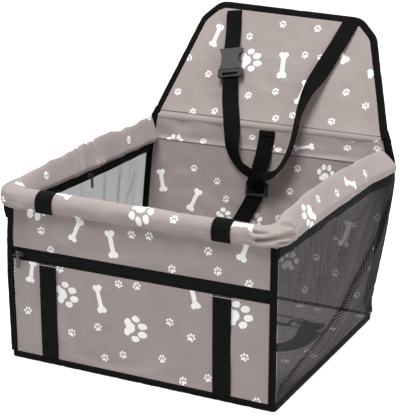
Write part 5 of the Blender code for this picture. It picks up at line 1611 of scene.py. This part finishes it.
# The seam where the front's sleeve is joined to the right one is sewn over in white.
seam_row = int(np.abs(rim_run[:, 0] - 0.1900).argmin())
seam_ring = rim_grid[seam_row, 3:34]
seam_out_ways = unit(seam_ring - rim_grid[seam_row].mean(0))
seam_line = seam_ring + seam_out_ways * 0.0003
stitched("rim_stitches", [seam_line], white_thread, "rim", "canvas", frontwards, 0.0034, 0.0024, 0.0007)

rim_zip_x, rim_zip_z = -0.19585, (0.2057 + wall_top) / 2
rim_zip_ends = [(rim_zip_x, y, rim_zip_z) for y in (-0.1656, 0.2140)]
rim_teeth = zip_band("rim_zip", rim_zip_ends, (0, 0, 1), (1, 0, 0), "rim", 0.012)
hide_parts("rim_zip_tape")


# The headrest: a foam pad between two sheets of the canvas, bound all round in wide black tape, and hung
# from the top of the back by a strip of the canvas that is its hinge.
outline_corners = (
    (0.198, 0.0), (0.1500, 0.159), (0.1215, 0.188), (-0.118, 0.188), (-0.1465, 0.160), (-0.198, 0.0),
)


def rounded(corners, radii, steps=7):
    """An open line through the corners, each rounded to its radius."""
    corners = [np.array(corner, float) for corner in corners]
    points = [corners[0]]
    for before, corner, after, radius in zip(corners, corners[1:], corners[2:], radii):
        back_way, ahead = unit(before - corner), unit(after - corner)
        half_angle = math.acos(float(back_way @ ahead)) / 2
        reach = radius / math.tan(half_angle)
        start, end = corner + back_way * reach, corner + ahead * reach
        for t in np.linspace(0, 1, steps):
            points.append((1 - t) ** 2 * start + 2 * t * (1 - t) * corner + t**2 * end)
    return np.array([*points, corners[-1]])


outline = rounded(outline_corners, (0.030, 0.032, 0.032, 0.030), 9)


def inset(depth):
    """The headrest's outline moved inwards."""
    ahead = unit(np.gradient(outline, axis=0))
    return outline + depth * np.stack([-ahead[:, 1], ahead[:, 0]], -1)


def skewed(x, rise, out):
    """A point of the headrest, whose top was sewn a little askew: higher on the left."""
    return on_flap(x, rise - 0.0508 * x * (rise / 0.185) ** 2, out)


tape_line, pad_line = inset(0.006), inset(0.0112)
right_half, left_half = pad_line[pad_line[:, 0] >= 0], pad_line[pad_line[:, 0] < 0][::-1]


def flap_pad():
    rises = np.linspace(0.0060, right_half[:, 1].max() - 0.0001, 36)
    share, row = np.meshgrid(np.linspace(-1, 1, 76), np.arange(36))
    right, left = (np.interp(rises, half[:, 1], np.abs(half[:, 0])) for half in (right_half, left_half))
    x, rise = share * np.where(share > 0, right[row], left[row]), rises[row]
    inside = np.clip((1 - np.abs(share)) / 0.1, 0, 1) * np.clip((rises[-1] - rise) / 0.02, 0, 1)
    inside = inside * np.clip((rise - 0.006) / 0.015, 0, 1)
    rise = rise - 0.0038 * np.clip((x + 0.187) / 0.374, 0, 1) * np.clip((0.060 - rise) / 0.054, 0, 1)
    front = skewed(x, rise, -0.003 + pad_depth(x, rise, 111) * inside)
    front = sunk(front, np.where(inside > 0.15, 0.0, 1.0), flap_out)
    back = skewed(x, rise, 0.003 + 0.0012 * inside)
    places = np.stack([x, rise], -1)
    return slab("headrest_pad", front, back, places, canvas, places * (-1, 1) + (1.0, 0))


flap_bones = [(-0.1149, 0.1331, -14, 0.036), (0.0075, 0.0979, 5, 0.042), (0.0489, 0.0575, -12, 0.040)]
flap_bones += [(0.1664, 0.1013, -79, 0.040), (0.0972, 0.1279, 38, 0.040)]
flap_paws = [(-0.0468, 0.1007, -81, paw_large)]
flap_paws += small_paws(
    (
        (-0.0052, 0.1626), (0.0533, 0.1619), (-0.0581, 0.1375), (0.0408, 0.1176), (0.0673, 0.1166),
        (-0.1543, 0.0935), (-0.1156, 0.0719), (-0.1616, 0.0380), (-0.0400, 0.0445), (0.0036, 0.0550),
        (0.1178, 0.0657), (0.1531, 0.0473), (-0.1281, 0.0082), (-0.0905, 0.0136), (0.0140, 0.0129),
        (0.0408, 0.0204), (0.1049, 0.0176),
    ),
    35,
)
rear_paws, rear_bones = scatter((0.81, 0.0), (1.19, 0.18), 12)
headrest_pad = flap_pad()
printed(headrest_pad, flap_paws + rear_paws, flap_bones + rear_bones)
dressed(headrest_pad, "canvas", "flap_lining", "flap_padding", "flap_cover", body="headrest")

tape_points = skewed(tape_line[:, 0], tape_line[:, 1], 0 * tape_line[:, 0])
tape_outs = [-flap_out] * len(tape_points)
tape_across = tape_section(pad_tape_wide, pad_tape_thick)
headrest_tape = swept("headrest_tape", tape_points, tape_outs, tape_across, tape_look)
uneven(headrest_tape, 0.0004, 0.012, 121, inwards=True)
dressed(headrest_tape, "binding", "flap_binding", body="headrest")

strip_half = 0.1872
strip_x = np.linspace(-strip_half, strip_half, 32)
strip_rows = (
    (band_top - 0.0080, on_back(strip_x, band_top - 0.0080, 0.0010)),
    (band_top - 0.0050, on_back(strip_x, band_top - 0.0050, 0.0000)),
    (band_top, on_back(strip_x, band_top, -0.0008)),
    (band_top + 0.0040, on_flap(strip_x, 0.0005, -0.0024)),
    (band_top + 0.0080, on_flap(strip_x, 0.0050, -0.0018)),
    (band_top + 0.0105, on_flap(strip_x, 0.0074, -0.0012)),
)
strip_front = drawn_out(np.stack([points for run, points in strip_rows]))
hinge_flat = np.stack(np.meshgrid(strip_x, [run for run, points in strip_rows]), -1)
hinge_cloth = slab("hinge_cloth", strip_front, strip_front + back_out * 0.0006, hinge_flat, canvas)
printed(hinge_cloth, tunnel_paws, tunnel_bones)
dressed(hinge_cloth, "canvas", "flap_hinge_cloth")
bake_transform(hinge_cloth)
for side, sign in (("left", -1), ("right", 1)):
    low_end = drawn_out(on_back(sign * 0.1935, band_top - 0.002, pad_thick / 2))
    high_end = drawn_out(on_flap(sign * 0.1900, 0.010, 0.0))
    outs, tape_across = [-back_out, -flap_out], tape_section(0.0110, 0.0062)
    tape = swept("hinge_tape_" + side, [low_end, high_end], outs, tape_across, tape_look, 0.001)
    dressed(tape, "binding")
    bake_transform(tape)


# The hard parts, moulded in plastic or cast in metal and coated black. They keep the shape of their
# solids, with the edges softened as a mould leaves them.
def moulded(name, dark, light, rough, grain, shine=0.4):
    """Moulded plastic or painted metal: a faint grain, and a slow change of gloss from handling."""
    made = new_material(name)
    tree = made.node_tree
    where = own_place(tree)
    wear = use_group(tree, mottle, {"Vector": where}, Size=0.008, Detail=5.0)["Value"]
    pits = node(tree, "ShaderNodeTexNoise", Scale=grain, Detail=2.0)
    link(tree, where, pits.inputs["Vector"])
    gloss = maths(tree, "MULTIPLY_ADD", wear, 0.18, rough - 0.09)
    normal = relief(tree, pits.outputs["Fac"], 0.25, 0.0001)
    surface(tree, colour_between(tree, wear, dark, light), normal, shine, gloss)
    return made


def softened(name, look, width):
    """The solid itself, with its flat faces joined up and its edges rounded."""
    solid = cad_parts[name]
    solid.data.materials.clear()
    solid.data.materials.append(look)
    weld = solid.modifiers.new("weld", "WELD")
    weld.merge_threshold = 1e-5
    flats = solid.modifiers.new("flats", "DECIMATE")
    flats.decimate_type = "DISSOLVE"
    flats.angle_limit = math.radians(2)
    if width:
        edges = solid.modifiers.new("edges", "BEVEL")
        edges.width = width
        edges.segments = 2
        edges.limit_method = "ANGLE"
        edges.angle_limit = math.radians(32)
        edges.use_clamp_overlap = True
    solid.data.shade_smooth()
    even = solid.modifiers.new("even", "WEIGHTED_NORMAL")
    even.keep_sharp = True
    return solid


buckle_grey = moulded("dark_grey_plastic", (0.026, 0.026, 0.027), (0.040, 0.040, 0.042), 0.42, 2500)
black_plastic = moulded("black_plastic", (0.010, 0.010, 0.011), (0.022, 0.022, 0.023), 0.38, 2500)
black_metal = moulded("black_coated_metal", (0.020, 0.020, 0.021), (0.038, 0.038, 0.040), 0.30, 1800, 0.6)
softened("buckle_housing", buckle_grey, 0.0005)
for name in ("buckle_plug", "buckle_prong_left", "buckle_prong_right", "strap_adjuster"):
    softened(name, black_plastic, 0.0004)
for name in ("pocket_zip_slider", "pocket_zip_puller", "rim_zip_slider", "rim_zip_puller"):
    softened(name, black_metal, 0.0002)
for name in ("tether_eye", "snap_hook", "hook_gate"):
    softened(name, black_metal, 0.0002)


# Hidden inside the rim and the base: white plastic pipe with its elbows, and the grey board under the floor.
pipe_plastic = moulded("white_pipe_plastic", (0.62, 0.61, 0.58), (0.74, 0.73, 0.70), 0.45, 2000)
grey_board = moulded("grey_board", (0.12, 0.11, 0.10), (0.17, 0.16, 0.15), 0.85, 900, 0.2)
for name in ("rim_tube_front", "rim_tube_left", "rim_tube_right", "rim_tube_back"):
    softened(name, pipe_plastic, 0)
for name in ("rim_corner_left", "rim_corner_right"):
    softened(name, pipe_plastic, 0)
softened("base_board", grey_board, 0)
